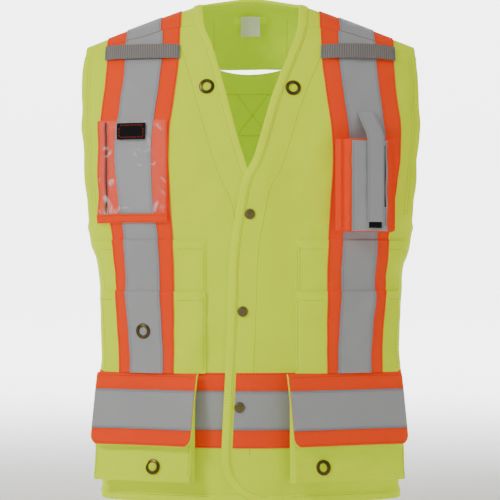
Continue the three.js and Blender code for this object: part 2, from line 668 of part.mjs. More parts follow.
// ---- Tool pockets and the microphone tab ----
function toolPocket(front, tier) {
  const rows = [TOOL_BOTTOM, 205, 230, 258, TOOL_TOPS.lower, 318, TOOL_TOPS.upper]
    .filter((z) => z <= TOOL_TOPS[tier]);
  const place = (s, z, face) => {
    const level = z / CHEST_HEIGHT;
    const outer = seamHalf(z) - TOOL_SIDE_INSET;
    const theta = mix(thetaAt(TOOL_INNER, level), thetaAt(outer, level), s);
    const puff = smooth(Math.min(s, 1 - s) / TOOL_HEM_SHARE);
    const offset = mix(TOOL_EDGE_OFFSET[tier], TOOL_OFFSET[tier], puff) + face * TOOL_THICK;
    const rise = lapRise(front.side, form(theta, level).x, level);
    return onForm(theta * front.side, level, offset + rise);
  };
  const columns = [0, 0.07, 0.14, 0.28, 0.42, 0.56, 0.7, 0.8, 0.9, 1];
  const pocket = sheet(columns, rows, place);
  const waistEyelet = tier === "lower" && spots[front.hand].waist;
  const hole = waistEyelet && punch(spotMatrix(front, waistEyelet, TOOL_OFFSET.lower + 13), EYELET_HOLE + PUNCH_CLEAR);
  add(`tool_pocket_${tier}_${front.hand}`, hole ? cut(pocket, hole) : pocket, LIME);
}

function micTab(front) {
  const place = (s, r, face) => {
    const x = mix(MIC_TAB.inner, MIC_TAB.outer, s);
    const level = levelOf(x, mix(MIC_TAB.low, MIC_TAB.high, r));
    const proud = MIC_TAB.proud * Math.sin(Math.PI * s) ** 0.8;
    return cloth(x * front.side, level, TAPE_SEAT + TAPE + GAP + proud + face * MIC_TAB.thick);
  };
  add(`mic_tab_${front.hand}`, sheet(spread(8), spread(2), place), WEBBING);
}

// ---- Cargo pockets ----
const facetNormal = new THREE.Vector3(Math.sin(FACET_ANGLE), -Math.cos(FACET_ANGLE), 0);
const facetAcross = new THREE.Vector3(Math.cos(FACET_ANGLE), Math.sin(FACET_ANGLE), 0);
const UP = new THREE.Vector3(0, 0, 1);
const facetRun = (half) => (half - FACET_REACH * Math.sin(FACET_ANGLE)) / Math.cos(FACET_ANGLE);

// A side profile of [outward, height] corners, carried across from one run to another.
function carried(profile, { normal, across, origin }, from, to) {
  const shape = new THREE.Shape(profile.map(([out, z]) => new THREE.Vector2(out, z)));
  const matrix = new THREE.Matrix4().makeBasis(normal, UP, across.clone().negate());
  matrix.setPosition(origin.clone().addScaledVector(across, to));
  return oriented(new THREE.ExtrudeGeometry(shape, { depth: to - from, bevelEnabled: false }), matrix);
}

const facetFrame = {
  normal: facetNormal, across: facetAcross, origin: facetNormal.clone().multiplyScalar(FACET_REACH),
};

// Everything inside the cloth's outer face, between two heights.
function core(front, low, high, offset) {
  const rows = spread(5).map((share) => levelOf(RADIO.centre, mix(low, high, share)));
  const place = (turn, level, face) => {
    const theta = turn * 98 * DEG;
    const centre = form(theta, level);
    if (!face) return centre.multiply(new THREE.Vector3(0.3, 0.3, 1));
    return onForm(theta, level, offset + lapRise(front.side, centre.x, level));
  };
  return sheet(spread(30).map((share) => 2 * share - 1), rows, place);
}

const EYELET_PROFILE = (thick) => [
  [EYELET_HOLE, -BACK_FLANGE - BACK_FLANGE_THICK],
  [EYELET_HOLE + BACK_FLANGE_WIDTH, -BACK_FLANGE - BACK_FLANGE_THICK],
  [EYELET_HOLE + BACK_FLANGE_WIDTH, -BACK_FLANGE], [EYELET_HOLE + EYELET_WALL, -BACK_FLANGE],
  [EYELET_HOLE + EYELET_WALL, thick + METAL_SEAT], [EYELET_OUTER, thick + METAL_SEAT],
  [EYELET_OUTER - EYELET_ROLL, thick + METAL_SEAT + EYELET_ROLL],
  [EYELET_HOLE, thick + METAL_SEAT + EYELET_ROLL],
];

function cargoPocket(front) {
  const { inner, outer, eyelet } = CARGO[front.hand];
  const [from, to] = [facetRun(inner), facetRun(outer)];
  const { mouth, bottom } = CARGO_DEPTH;
  const bag = carried([[-60, CARGO_BOTTOM], [bottom, CARGO_BOTTOM], [mouth, CARGO_MOUTH], [-60, CARGO_MOUTH]],
    facetFrame, from, to);
  const slope = (bottom - mouth) / (CARGO_MOUTH - CARGO_BOTTOM);
  const lining = carried([
    [-70, CARGO_BOTTOM + CLOTH], [bottom - CLOTH * (1 + slope), CARGO_BOTTOM + CLOTH],
    [mouth - CLOTH - slope * 40, CARGO_MOUTH + 40], [-70, CARGO_MOUTH + 40]],
  facetFrame, from + CLOTH, to - CLOTH);
  const tilt = Math.atan(slope);
  const normal = facetNormal.clone().multiplyScalar(Math.cos(tilt)).addScaledVector(UP, Math.sin(tilt));
  const climb = new THREE.Vector3().crossVectors(normal, facetAcross).negate();
  const spot = facetFrame.origin.clone().addScaledVector(facetAcross, facetRun(eyelet))
    .addScaledVector(facetNormal, bottom - CLOTH - slope * (EYELET_HEIGHT - CARGO_BOTTOM));
  spot.z = EYELET_HEIGHT;
  const matrix = new THREE.Matrix4().makeBasis(facetAcross, climb, normal).setPosition(spot);
  const body = core(front, CARGO_BOTTOM - 20, CARGO_MOUTH + 60, CARGO_CLEAR);
  const pocket = cut(bag, lining, body, punch(matrix, EYELET_HOLE + PUNCH_CLEAR));
  add(`cargo_pocket_${front.hand}`, sided(pocket, front.side), LIME);
  const ring = lathed(EYELET_PROFILE(CLOTH), matrix);
  add(`cargo_eyelet_${front.hand}`, sided(ring, front.side), BRONZE);
}

function roundedPanel(from, to, depth, corner) {
  const shape = new THREE.Shape();
  shape.moveTo(from, 0);
  shape.lineTo(to, 0);
  shape.lineTo(to, -depth + corner);
  shape.lineTo(to - corner, -depth);
  shape.lineTo(from + corner, -depth);
  shape.lineTo(from, -depth + corner);
  return shape;
}

function cargoFlap(front) {
  const { inner, outer } = CARGO[front.hand];
  const [from, to] = [facetRun(inner) - FLAP_OVERHANG, facetRun(outer) + FLAP_OVERHANG];
  const drop = Math.hypot(FLAP_TOP - FLAP_BOTTOM, FLAP_SPREAD);
  const tilt = Math.atan2(FLAP_SPREAD, FLAP_TOP - FLAP_BOTTOM);
  const normal = facetNormal.clone().multiplyScalar(Math.cos(tilt)).addScaledVector(UP, Math.sin(tilt));
  const climb = new THREE.Vector3().crossVectors(normal, facetAcross);
  const origin = facetFrame.origin.clone().addScaledVector(facetNormal, FLAP_OFFSET);
  origin.z = FLAP_TOP;
  const plate = (shape, start, thick) => {
    const matrix = new THREE.Matrix4().makeBasis(facetAcross, climb, normal);
    matrix.setPosition(origin.clone().addScaledVector(normal, start));
    return sided(oriented(new THREE.ExtrudeGeometry(shape, { depth: thick, bevelEnabled: false }), matrix), front.side);
  };
  const inset = roundedPanel(from + 1, to - 1, drop - 1, FLAP_CORNER);
  const [silverTop, silverBottom] = [WAIST_SILVER[1], WAIST_SILVER[0]].map((z) => (
    (FLAP_TOP - z) * drop / (FLAP_TOP - FLAP_BOTTOM)));
  const band = new THREE.Shape([[from + 1, -silverTop], [to - 1, -silverTop],
    [to - 1, -Math.min(silverBottom, drop - FLAP_CORNER)], [from + 1, -Math.min(silverBottom, drop - FLAP_CORNER)]]
    .map(([u, v]) => new THREE.Vector2(u, v)));
  add(`cargo_flap_${front.hand}`, plate(roundedPanel(from, to, drop, FLAP_CORNER), 0, FLAP_THICK), LIME);
  add(`flap_orange_${front.hand}`, plate(inset, FLAP_THICK + GAP, TAPE), ORANGE);
  add(`flap_silver_${front.hand}`, plate(band, FLAP_THICK + 2 * GAP + TAPE, TAPE), SILVER);
}

// ---- Chest pockets ----
function radioFrame() {
  const level = levelOf(RADIO.centre, RADIO.seat);
  const theta = thetaAt(RADIO.centre, level);
  const normal = outward(theta, level).setZ(0).normalize();
  const across = new THREE.Vector3().crossVectors(UP, normal);
  const origin = form(theta, level).setZ(0);
  return { normal, across, origin };
}

function radioPocket() {
  const frame = radioFrame();
  const half = RADIO.width / 2;
  const { bottom, top, depth } = RADIO;
  const box = carried([[-60, bottom], [depth, bottom], [depth, top], [-60, top]], frame, -half, half);
  const lining = carried([[-70, bottom + CLOTH], [depth - CLOTH, bottom + CLOTH], [depth - CLOTH, top + 50],
    [-70, top + 50]], frame, -half + CLOTH, half - CLOTH);
  add("radio_pouch", cut(box, lining, core(FRONTS[0], bottom - 20, top + 40, RADIO_CLEAR)), ORANGE);
  const face = depth + GAP;
  const silver = carried([[face, bottom + 2], [face + TAPE, bottom + 2], [face + TAPE, top - 2], [face, top - 2]],
    frame, -RADIO.silver / 2, RADIO.silver / 2);
  add("radio_silver", silver, SILVER);
  const patch = face + TAPE + GAP;
  const [low, high] = RADIO.patch;
  add("radio_loop_patch", carried([[patch, low], [patch + TAPE, low], [patch + TAPE, high], [patch, high]],
    frame, STRAP.middle - STRAP.width / 2 + 3, STRAP.middle + STRAP.width / 2 - 3), BLACK);
  const anchor = cloth(RADIO.centre + STRAP.middle, levelOf(RADIO.centre, STRAP.top), STRAP.seat);
  const out = anchor.sub(frame.origin).dot(frame.normal);
  const inner = patch + TAPE + GAP;
  const strap = carried([[out, STRAP.top], [inner, top + 5], [inner, STRAP.bottom],
    [inner + STRAP.thick, STRAP.bottom], [inner + STRAP.thick, top + 6], [out + STRAP.thick, STRAP.top]],
  frame, STRAP.middle - STRAP.width / 2, STRAP.middle + STRAP.width / 2);
  add("radio_strap", strap, SILVER);
}

function idPocket() {
  const front = FRONTS[1];
  const panel = (name, [inner, outer], [low, high], offset, thick, colour, extra) => {
    const place = (s, r, face) => {
      const x = mix(inner, outer, s);
      return cloth(x * front.side, levelOf(x, mix(low, high, r)), offset + face * thick);
    };
    add(name, sheet(spread(6), spread(4), place), colour, extra);
  };
  const window = ID_POCKET.seat;
  const sides = [ID_POCKET.inner, ID_POCKET.outer];
  panel("id_window", sides, [ID_POCKET.bottom, ID_POCKET.top], window, TAPE, VINYL, CLEAR);
  panel("id_bottom_band", sides, [ID_POCKET.bottom - 8, ID_POCKET.bottom + 4], window + TAPE + GAP, TAPE, ORANGE);
  panel("id_patch", ID_POCKET.patchAcross, ID_POCKET.patchUp, window + TAPE + GAP, TAPE, BLACK);
}

// ---- Metal ----
function eyelet(name, front, spot, thick) {
  add(name, lathed(EYELET_PROFILE(thick), spotMatrix(front, spot)), BRONZE);
}

function snap([name, x, z], seat) {
  const matrix = snapMatrix([name, x, z]);
  const base = LAP_RISE + CLOTH + seat + METAL_SEAT;
  const under = LAP_RISE - GAP - TAPE - GAP;
  const cap = [[0, base + SNAP_DOME], [SNAP_CAP_RADIUS * 0.6, base + SNAP_DOME * 0.88],
    [SNAP_CAP_RADIUS, base + SNAP_DOME * 0.35], [SNAP_CAP_RADIUS, base], [SNAP_POST, base],
    [SNAP_POST, under], [SNAP_BACK_RADIUS, under], [SNAP_BACK_RADIUS, SOCKET_FLOOR],
    [SOCKET_RADIUS, SOCKET_FLOOR], [SOCKET_RADIUS, SOCKET_ROOF], [0, SOCKET_ROOF]];
  add(`snap_cap_${name}`, lathed(cap, matrix), BRONZE);
  const foot = -GAP - TAPE - GAP;
  const collar = CLOTH + METAL_SEAT;
  const stud = [[0, foot - STUD_PLATE], [SNAP_BACK_RADIUS, foot - STUD_PLATE], [SNAP_BACK_RADIUS, foot],
    [SNAP_POST, foot], [SNAP_POST, collar], [STUD_COLLAR, collar], [STUD_COLLAR, collar + TAPE],
    [STUD_RADIUS, collar + TAPE], [STUD_RADIUS, STUD_TOP], [0, STUD_TOP]];
  add(`snap_stud_${name}`, lathed(stud, matrix), BRONZE);
}

function metal() {
  const [left, right] = FRONTS;
  eyelet("neck_eyelet_left", left, spots.left.neck, CLOTH);
  eyelet("neck_eyelet_right", right, spots.right.neck, CLOTH);
  const stack = carrier(spots.right.waist[1]) + TAPE_SEAT - CLOTH + 2 * TAPE + GAP;
  const top = new THREE.Matrix4().makeTranslation(0, 0, TOOL_OFFSET.lower);
  const matrix = spotMatrix(right, spots.right.waist).multiply(top);
  const ring = EYELET_PROFILE(stack - TOOL_OFFSET.lower).map(([r, h]) => [r, h < 0 ? h + BACK_FLANGE - 0.5 : h]);
  add("tape_eyelet", lathed(ring, matrix), BRONZE);
  snap(SNAPS[0], 0);
  snap(SNAPS[1], 0);
  snap(SNAPS[2], 2 * TAPE + GAP + TAPE_STEP);
}

yoke();
backBody();
crossTapes();
neckFittings();
FRONTS.forEach((front) => {
  frontPanel(front);
  edgeBinding(front);
  frontTapes(front);
  toolPocket(front, "upper");
  toolPocket(front, "lower");
  micTab(front);
  cargoPocket(front);
  cargoFlap(front);
});
radioPocket();
idPocket();
metal();
vest.position.set(0, 0, -ridgeHeight(NECK_HALF));

export default vest;
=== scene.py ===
# A surveyor's high visibility vest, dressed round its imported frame.
# The cloth is laid on a body form. Working sizes are in millimetres above the hem; the pieces are in metres.
import math

import bmesh
import bpy
import numpy as np
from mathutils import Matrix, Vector


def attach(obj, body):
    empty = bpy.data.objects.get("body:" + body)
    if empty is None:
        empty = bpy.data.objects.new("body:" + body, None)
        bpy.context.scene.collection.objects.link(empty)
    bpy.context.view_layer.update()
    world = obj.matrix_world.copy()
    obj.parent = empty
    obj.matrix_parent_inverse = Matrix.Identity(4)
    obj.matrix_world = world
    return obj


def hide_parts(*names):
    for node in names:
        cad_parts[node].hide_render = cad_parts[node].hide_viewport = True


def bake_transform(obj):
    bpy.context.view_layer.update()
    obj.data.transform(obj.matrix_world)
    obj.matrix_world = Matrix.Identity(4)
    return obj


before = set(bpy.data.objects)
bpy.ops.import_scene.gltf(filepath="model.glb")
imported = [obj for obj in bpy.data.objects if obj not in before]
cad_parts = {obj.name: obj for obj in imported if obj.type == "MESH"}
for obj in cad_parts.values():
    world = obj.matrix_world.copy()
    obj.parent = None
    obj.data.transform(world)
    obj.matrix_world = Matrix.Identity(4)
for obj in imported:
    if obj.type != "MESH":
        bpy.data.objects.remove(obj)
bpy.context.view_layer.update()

# ---- Sizes ----
CHEST_HEIGHT, PIT_HEIGHT = 430, 355
RIDGE_TOP, RIDGE_SLOPE, RIDGE_ROUND = 710, 0.39, 40
NECK_HALF, NECK_BACK_DEPTH = 71, 24
ORIGIN_HEIGHT = RIDGE_TOP - RIDGE_SLOPE * math.hypot(NECK_HALF, RIDGE_ROUND)
SEAM_HALF = [[0, 205], [170, 206], [240, 207], [300, 210], [355, 221], [400, 237], [430, 243]]
FRONT_DEPTH = [[0, 118], [240, 112], [430, 120]]
BACK_DEPTH = [[0, 110], [240, 101], [430, 120]]
ROUNDNESS = 2.4
FACET_ANGLE, FACET_REACH, FACET_CRISPNESS = math.radians(22.5), 132.7, 12
ARMHOLE = [[0.826, 220.4], [0.93, 222], [1, 226], [1.17, 230], [1.33, 232], [1.6, 231], [2, 227]]
YOKE_SEAM, SLIT_HALF, SLIT_OPENING = 597, 42, 6
SHOULDER_REACH = 231
LAP_RISE, LAP_FULL_AT, LAP_NONE_AT, LAP_TOP, LAP_FADE = 6, 14, 64, 1.03, 0.22
EDGE = {
    1: [[0, -36], [0.15, -36], [0.41, -31], [0.63, -27], [0.79, -24.5], [0.93, -15], [1, -9], [1.03, -4],
        [1.08, 7], [1.284, 30], [1.494, 55], [1.654, 67], [2, NECK_HALF]],
    -1: [[0, -6], [0.3, -8], [0.6, -12], [0.85, -16], [0.93, -12], [1, -3], [1.03, 4], [1.14, 18.5],
         [1.284, 33], [1.535, 55], [1.654, 65], [2, NECK_HALF]],
}
CORNER = {1: 60, -1: 18}
HANDS = {1: "left", -1: "right"}
FACING, FACING_END, BODY_START, BINDING = 36, 60, 70, 9
BRACE = [[174, 101, 116, 160, 176], [283, 102, 121, 165, 180], [352, 104, 124, 170, 187],
         [400, 107, 131, 177, 194], [480, 110, 134, 182, 204], [612, 96, 120, 170, 196]]
# Each waist tape's lower edge, upper edge and distance off the form.
WAIST = {"orange": (72, 173, 1.5), "silver": (97, 148, 2.4)}
THREAD = {"orange": "orange_thread", "silver": "grey_thread"}
UNDER_BAND_START, OVER_BAND_COLUMN = 24, 0.34
SEAM_IN = 2
TOOL_INNER, TOOL_BOTTOM, TOOL_SIDE_INSET = 60, 172, 8
TOOL_TOP = {"upper": 352, "lower": 283}
TOOL_OFFSET = {"upper": 3, "lower": 6}
TOOL_CLOTH, BAG_CLOTH = 0.8, 1.0
HINGE_FORWARD = 14
CLOTH, TAPE, EDGE_TAPE, EDGE_TAPE_HALF = 1.2, 0.6, 0.5, 0.7
YOKE_TOP_HALF, YOKE_LOW_HALF, YOKE_SEAM_LAP = 228, 226, 0.0022
HEM_STITCH, STITCH_PITCH = 7, 4.3
WEBBING_X, WEBBING_Z, WEBBING = (95, 198), (597, 616), 1.4
CARGO_LOW, CARGO_MOUTH, CARGO_DEEP, CARGO_SHALLOW = 26.5, 138, 24.5, 11
FLAP_TOP, FLAP_DROP, FLAP_STAND, FLAP_CORNER = 172, 98, 23, 14
NECK_EYELET = {1: (57.5, 557), -1: (-59, 559)}
TAPE_EYELET = (-142, 229)
CARGO_EYELET_HEIGHT, CARGO_SLOPE_LOW, CARGO_SLOPE_RUN = 47, 26, 112
# Each snap's place and how far its cap is lifted by what lies under it.
SNAPS = {"top": (-0.8, 387, 0), "middle": (-10.3, 256, 0), "bottom": (-14.4, 127, 2.0)}


def mix(a, b, t):
    return a + (b - a) * t


def smooth(t):
    t = np.clip(t, 0, 1)
    return t * t * (3 - 2 * t)


def through(points):
    """A smooth curve through [station, value] pairs, level at its ends."""
    s, v = np.array(points, float).T
    slope = np.zeros(len(s))
    slope[1:-1] = (v[2:] - v[:-2]) / (s[2:] - s[:-2])

    def curve(x):
        x = np.clip(x, s[0], s[-1])
        i = np.clip(np.searchsorted(s, x, side="left") - 1, 0, len(s) - 2)
        span = s[i + 1] - s[i]
        t = (x - s[i]) / span
        bend = span * (slope[i] * t * (1 - t) ** 2 - slope[i + 1] * t ** 2 * (1 - t))
        return mix(v[i], v[i + 1], smooth(t)) + bend
    return curve


seam_half, front_depth, back_depth = through(SEAM_HALF), through(FRONT_DEPTH), through(BACK_DEPTH)
armhole = through(ARMHOLE)
edge_curve = {side: through(EDGE[side]) for side in EDGE}
brace_lines = [through([[row[0], row[k]] for row in BRACE]) for k in (1, 2, 3, 4)]


def form(theta, level):
    """The body form's point at an angle from the front's (or back's) middle and a level."""
    theta, level = np.broadcast_arrays(np.asarray(theta, float), np.asarray(level, float))
    back = level > 2
    rise = np.where(back, 4 - level, level)
    z = np.minimum(rise, 1) * CHEST_HEIGHT
    half = seam_half(z)
    depth = np.where(back, back_depth(z), front_depth(z))
    sine, cosine = np.abs(np.sin(theta)), np.abs(np.cos(theta))
    round_ = ((sine / half) ** ROUNDNESS + (cosine / depth) ** ROUNDNESS) ** (-1 / ROUNDNESS)
    facet = (sine * math.sin(FACET_ANGLE) + cosine * math.cos(FACET_ANGLE)) / FACET_REACH
    planes = (sine / half) ** FACET_CRISPNESS + (cosine / depth) ** FACET_CRISPNESS + facet ** FACET_CRISPNESS
    faceted = planes ** (-1 / FACET_CRISPNESS)
    reach = np.where(back, round_, mix(faceted, round_, smooth((z - 180) / 150)))
    x = reach * np.sin(theta)
    y = reach * np.cos(theta) * np.where(back, 1, -1)
    lean = np.radians(np.maximum(rise - 1, 0) * 90)
    ridge = RIDGE_TOP - RIDGE_SLOPE * np.hypot(x, RIDGE_ROUND)
    high = mix(CHEST_HEIGHT, ridge, np.sin(lean))
    return np.stack([x, np.where(rise > 1, y * np.cos(lean), y), np.where(rise > 1, high, z)], -1)


def theta_at(x, level):
    x, level = np.broadcast_arrays(np.asarray(x, float), np.asarray(level, float))
    low, high = np.full(x.shape, -math.pi / 2), np.full(x.shape, math.pi / 2)
    for _ in range(30):
        middle = (low + high) / 2
        under = form(middle, level)[..., 0] < x
        low, high = np.where(under, middle, low), np.where(under, high, middle)
    return (low + high) / 2


def unit(v):
    return v / np.maximum(np.linalg.norm(v, axis=-1, keepdims=True), 1e-12)


def outward(theta, level):
    step = 1e-4
    side = form(theta + step, level) - form(theta - step, level)
    up = form(theta, level + step) - form(theta, level - step)
    return unit(np.cross(side, up))


def level_of(x, z):
    x, z = np.broadcast_arrays(np.asarray(x, float), np.asarray(z, float))
    ridge = RIDGE_TOP - RIDGE_SLOPE * np.hypot(x, RIDGE_ROUND)
    share = np.clip((z - CHEST_HEIGHT) / (ridge - CHEST_HEIGHT), 0, 1)
    return np.where(z <= CHEST_HEIGHT, z / CHEST_HEIGHT, 1 + np.arcsin(share) / (math.pi / 2))


def shoulder_seam(x):
    return mix(1.685, 1.76, np.clip((np.abs(x) - 80) / 120, 0, 1))


def lap_rise(x, level):
    across = smooth((LAP_NONE_AT - x) / (LAP_NONE_AT - LAP_FULL_AT))
    return LAP_RISE * across * (1 - smooth((level - LAP_TOP) / LAP_FADE))


# ---- Folds in the cloth ----
SPOTS = [*NECK_EYELET.values(), TAPE_EYELET, *(snap[:2] for snap in SNAPS.values())]
FRONT_FOLDS = [
    # from x, z, to x, z, half width, height
    (-8, 300, -100, 176, 13, 2.4), (-12, 240, -70, 178, 9, -1.8), (18, 330, 44, 190, 12, 2.2),
    (40, 300, 20, 180, 10, -1.6), (-218, 350, -150, 270, 12, 2.0), (-222, 330, -165, 300, 9, -1.4),
    (220, 352, 160, 260, 12, 2.4), (222, 320, 175, 300, 8, -1.6), (-90, 520, -60, 395, 14, 1.6),
    (95, 500, 60, 400, 14, 1.6), (-28, 420, -60, 330, 13, 1.8), (30, 440, 62, 350, 13, -1.4),
    (-40, 60, -50, 0, 9, 1.5), (-20, 50, -22, 0, 7, -1.2), (30, 64, 36, 0, 9, 1.8), (8, 60, 4, 0, 7, -1.2),
    (215, 560, 190, 480, 12, 1.5), (-213, 560, -188, 470, 12, 1.5), (226, 470, 205, 400, 9, -1.6),
    (-226, 470, -206, 400, 9, -1.6), (195, 655, 120, 640, 8, 1.2), (-195, 655, -120, 640, 8, 1.2),
]
BACK_FOLDS = [
    (-200, 420, -60, 300, 18, 3.0), (200, 430, 70, 310, 18, 3.0), (-205, 360, -90, 250, 13, -2.4),
    (205, 370, 100, 240, 13, -2.4), (-120, 590, -20, 520, 14, 1.6), (120, 585, 30, 500, 14, 1.6),
    (-150, 60, -140, 0, 14, 2.4), (-60, 66, -70, 0, 12, -2.0), (40, 66, 45, 0, 14, 2.2),
    (140, 60, 130, 0, 12, -1.6),
]


def folds(x, z, table):
    total = np.zeros(np.shape(x))
    for x0, z0, x1, z1, half, height in table:
        ax, az = x1 - x0, z1 - z0
        length = math.hypot(ax, az)
        t = ((x - x0) * ax + (z - z0) * az) / length ** 2
        away = ((x - x0) * az - (z - z0) * ax) / length
        fade = smooth((t + 0.25) / 0.4) * smooth((1.25 - t) / 0.4)
        total = total + height * np.exp(-(away / half) ** 2) * fade
    return total


def ripples(x, z, seed, waves=26, longest=120, shortest=26, height=0.35):
    rng = np.random.default_rng(seed)
    total = np.zeros(np.shape(x))
    for k in range(waves):
        size = longest * (shortest / longest) ** (k / (waves - 1))
        turn = rng.uniform(0, math.pi)
        phase = rng.uniform(0, 2 * math.pi)
        total = total + height * (size / longest) ** 0.8 * np.sin(
            2 * math.pi * (x * math.cos(turn) + z * math.sin(turn)) / size + phase)
    return total


def wave(point, level):
    """How far the folds lift the cloth off the form, calm round the metal and along the shoulder ridge."""
    x, z = point[..., 0], point[..., 2]
    front = folds(x, z, FRONT_FOLDS) + ripples(x, z, 4)
    back = folds(x, z, BACK_FOLDS) + ripples(x, z, 9)
    lift = np.where(level > 2, back, front) * smooth(np.abs(level - 2) / 0.35)
    lift = lift * smooth((z + 40) / 60)
    from_side = np.minimum(np.abs(point[..., 1]), 30) / 30
    lift = lift * np.where(z < CHEST_HEIGHT, smooth(from_side + 0.15), 1)
    for spot_x, spot_z in SPOTS:
        near = np.exp(-((x - spot_x) ** 2 + (z - spot_z) ** 2) / 20 ** 2)
        lift = lift * (1 - np.where(level > 2, 0, near))
    return lift


def lay(theta, level, offset, lap=False):
    """Points on the dressed cloth, offset outward from the form."""
    base = form(theta, level)
    rise = offset + wave(base, level)
    if lap:
        rise = rise + lap_rise(base[..., 0], level)
    return base + outward(theta, level) * np.asarray(rise)[..., None]


def on_cloth(x, level, offset, lap=False):
    return lay(theta_at(x, level), level, offset, lap)


# ---- Meshes ----
def to_frame(points):
    return (np.asarray(points, float) - [0, 0, ORIGIN_HEIGHT]) / 1000


def make(name, points, faces, material, uv=None, sharp=35):
    mesh = bpy.data.meshes.new(name)
    mesh.from_pydata(to_frame(points).tolist(), [], [tuple(f) for f in faces])
    mesh.validate()
    mesh.materials.append(material)
    if uv is not None:
        layer = mesh.uv_layers.new(name="cloth")
        index = np.zeros(len(mesh.loops), int)
        mesh.loops.foreach_get("vertex_index", index)
        layer.data.foreach_set("uv", (np.asarray(uv) / 1000)[index].astype(np.float32).ravel())
    mesh.shade_smooth()
    mesh.set_sharp_from_angle(angle=math.radians(sharp))
    piece = bpy.data.objects.new(name, mesh)
    bpy.context.scene.collection.objects.link(piece)
    return piece


def grid_normals(grid):
    normal = unit(np.cross(np.gradient(grid, axis=1), np.gradient(grid, axis=0)))
    outside = grid * [1, 1, 0]
    return normal if (normal * outside).sum() > 0 else -normal


def distances(points):
    """How far along the path each of its points lies."""
    return np.concatenate([[0], np.cumsum(np.linalg.norm(np.diff(points, axis=0), axis=1))])


def lengths(grid):
    """Each grid point's place on the flat cloth, measured along its row and its column."""
    across = np.linalg.norm(np.diff(grid, axis=1), axis=2)
    along = np.linalg.norm(np.diff(grid, axis=0), axis=2)
    u = np.concatenate([np.zeros((grid.shape[0], 1)), np.cumsum(across, 1)], 1)
    v = np.concatenate([np.zeros((1, grid.shape[1])), np.cumsum(along, 0)], 0)
    return np.stack([u - u[:, u.shape[1] // 2:u.shape[1] // 2 + 1], v], -1)


def grid_faces(rows, columns):
    at = np.arange(rows * columns).reshape(rows, columns)
    quads = np.stack([at[:-1, :-1], at[:-1, 1:], at[1:, 1:], at[1:, :-1]], -1).reshape(-1, 4)
    count = rows * columns
    rim = np.concatenate([at[0, :-1], at[:-1, -1], at[-1, :0:-1], at[:0:-1, 0]])
    after = np.roll(rim, -1)
    walls = np.stack([after, rim, rim + count, after + count], -1)
    return np.concatenate([quads, quads[:, ::-1] + count, walls])


CUT = {}


def slab(name, grid, thick, material):
    """A sheet of cloth with its outer face on the grid, thick towards the inside; CUT keeps its grid."""
    CUT[name] = grid
    normal = grid_normals(grid)
    outer, inner = grid, grid - normal * thick
    rows, columns = grid.shape[:2]
    faces = grid_faces(rows, columns)
    first = np.cross(grid[0, 1] - grid[0, 0], grid[1, 0] - grid[0, 0])
    if first @ normal[0, 0] < 0:
        faces = faces[:, ::-1]
    uv = lengths(grid).reshape(-1, 2)
    points = np.concatenate([outer.reshape(-1, 3), inner.reshape(-1, 3)])
    return make(name, points, faces, material, np.concatenate([uv, uv]))


def loft(name, rings, material):
    """A closed section carried along stations: rings is (stations, corners, 3)."""
    count, corners = rings.shape[:2]
    at = np.arange(count * corners).reshape(count, corners)
    nxt = np.roll(at, -1, 1)
    sides = np.stack([at[:-1], nxt[:-1], nxt[1:], at[1:]], -1).reshape(-1, 4)
    faces = [tuple(f) for f in sides] + [tuple(at[0, ::-1]), tuple(at[-1])]
    run, girth = distances(rings[:, 0]), distances(rings[0])
    uv = np.stack(np.broadcast_arrays(girth[None, :], run[:, None]), -1).reshape(-1, 2)
    piece = make(name, rings.reshape(-1, 3), faces, material, uv)
    outward_faces(piece)
    return piece


def outward_faces(piece):
    shape = bmesh.new()
    shape.from_mesh(piece.data)
    bmesh.ops.recalc_face_normals(shape, faces=shape.faces)
    shape.to_mesh(piece.data)
    shape.free()


def resample(x, level, pitch, lap=False):
    """The same [x, level] path with stations evenly spaced along it."""
    run = distances(on_cloth(x, level, 0, lap))
    marks = np.linspace(0, run[-1], max(int(run[-1] / pitch), 4))
    return np.interp(marks, run, x), np.interp(marks, run, level)


def beside(x, level, across):
    """Angles and levels of the path moved sideways on the cloth by across (to its left hand)."""
    points = on_cloth(x, level, 0)
    run = unit(np.gradient(points, axis=0))
    theta = theta_at(x, level)
    normal = outward(theta, level)
    inward = np.cross(run, normal)
    step = 1e-3
    here = form(theta, level)
    turn = (form(theta + step, level) - here) / step
    climb = (form(theta, level + step) - here) / step
    tt, tc, cc = (turn * turn).sum(-1), (turn * climb).sum(-1), (climb * climb).sum(-1)
    ti, ci = (turn * inward).sum(-1), (climb * inward).sum(-1)
    scale = tt * cc - tc * tc
    return theta + (ti * cc - ci * tc) / scale * across, level + (ci * tt - ti * tc) / scale * across


def binding(name, x, level, hand, material, lap=False):
    """A folded tape round a cloth edge, with a rounded fold and a raised stitched lip."""
    x, level = resample(x, level, 5, lap)
    out, inn, skin = 2.1, -1.8, 0.7
    fold = [(-0.9 - 1.6 * math.sin(a), mix(inn - skin, out + skin, 0.5) + 2.55 * math.cos(a))
            for a in np.linspace(0, math.pi, 7)]
    section = [(BINDING, out + skin - 0.3), (BINDING - 1.2, out + skin), (4, out + skin + 0.25)] + fold + [
        (4, inn - skin), (BINDING, inn - skin), (BINDING, inn), (-0.3, inn), (-0.3, out), (BINDING, out)]
    rings = []
    for across, offset in section:
        theta, high = beside(x, level, hand * across)
        rings.append(lay(theta, high, offset, lap))
    return loft(name, np.stack(rings, 1), material)


STITCHES = {}


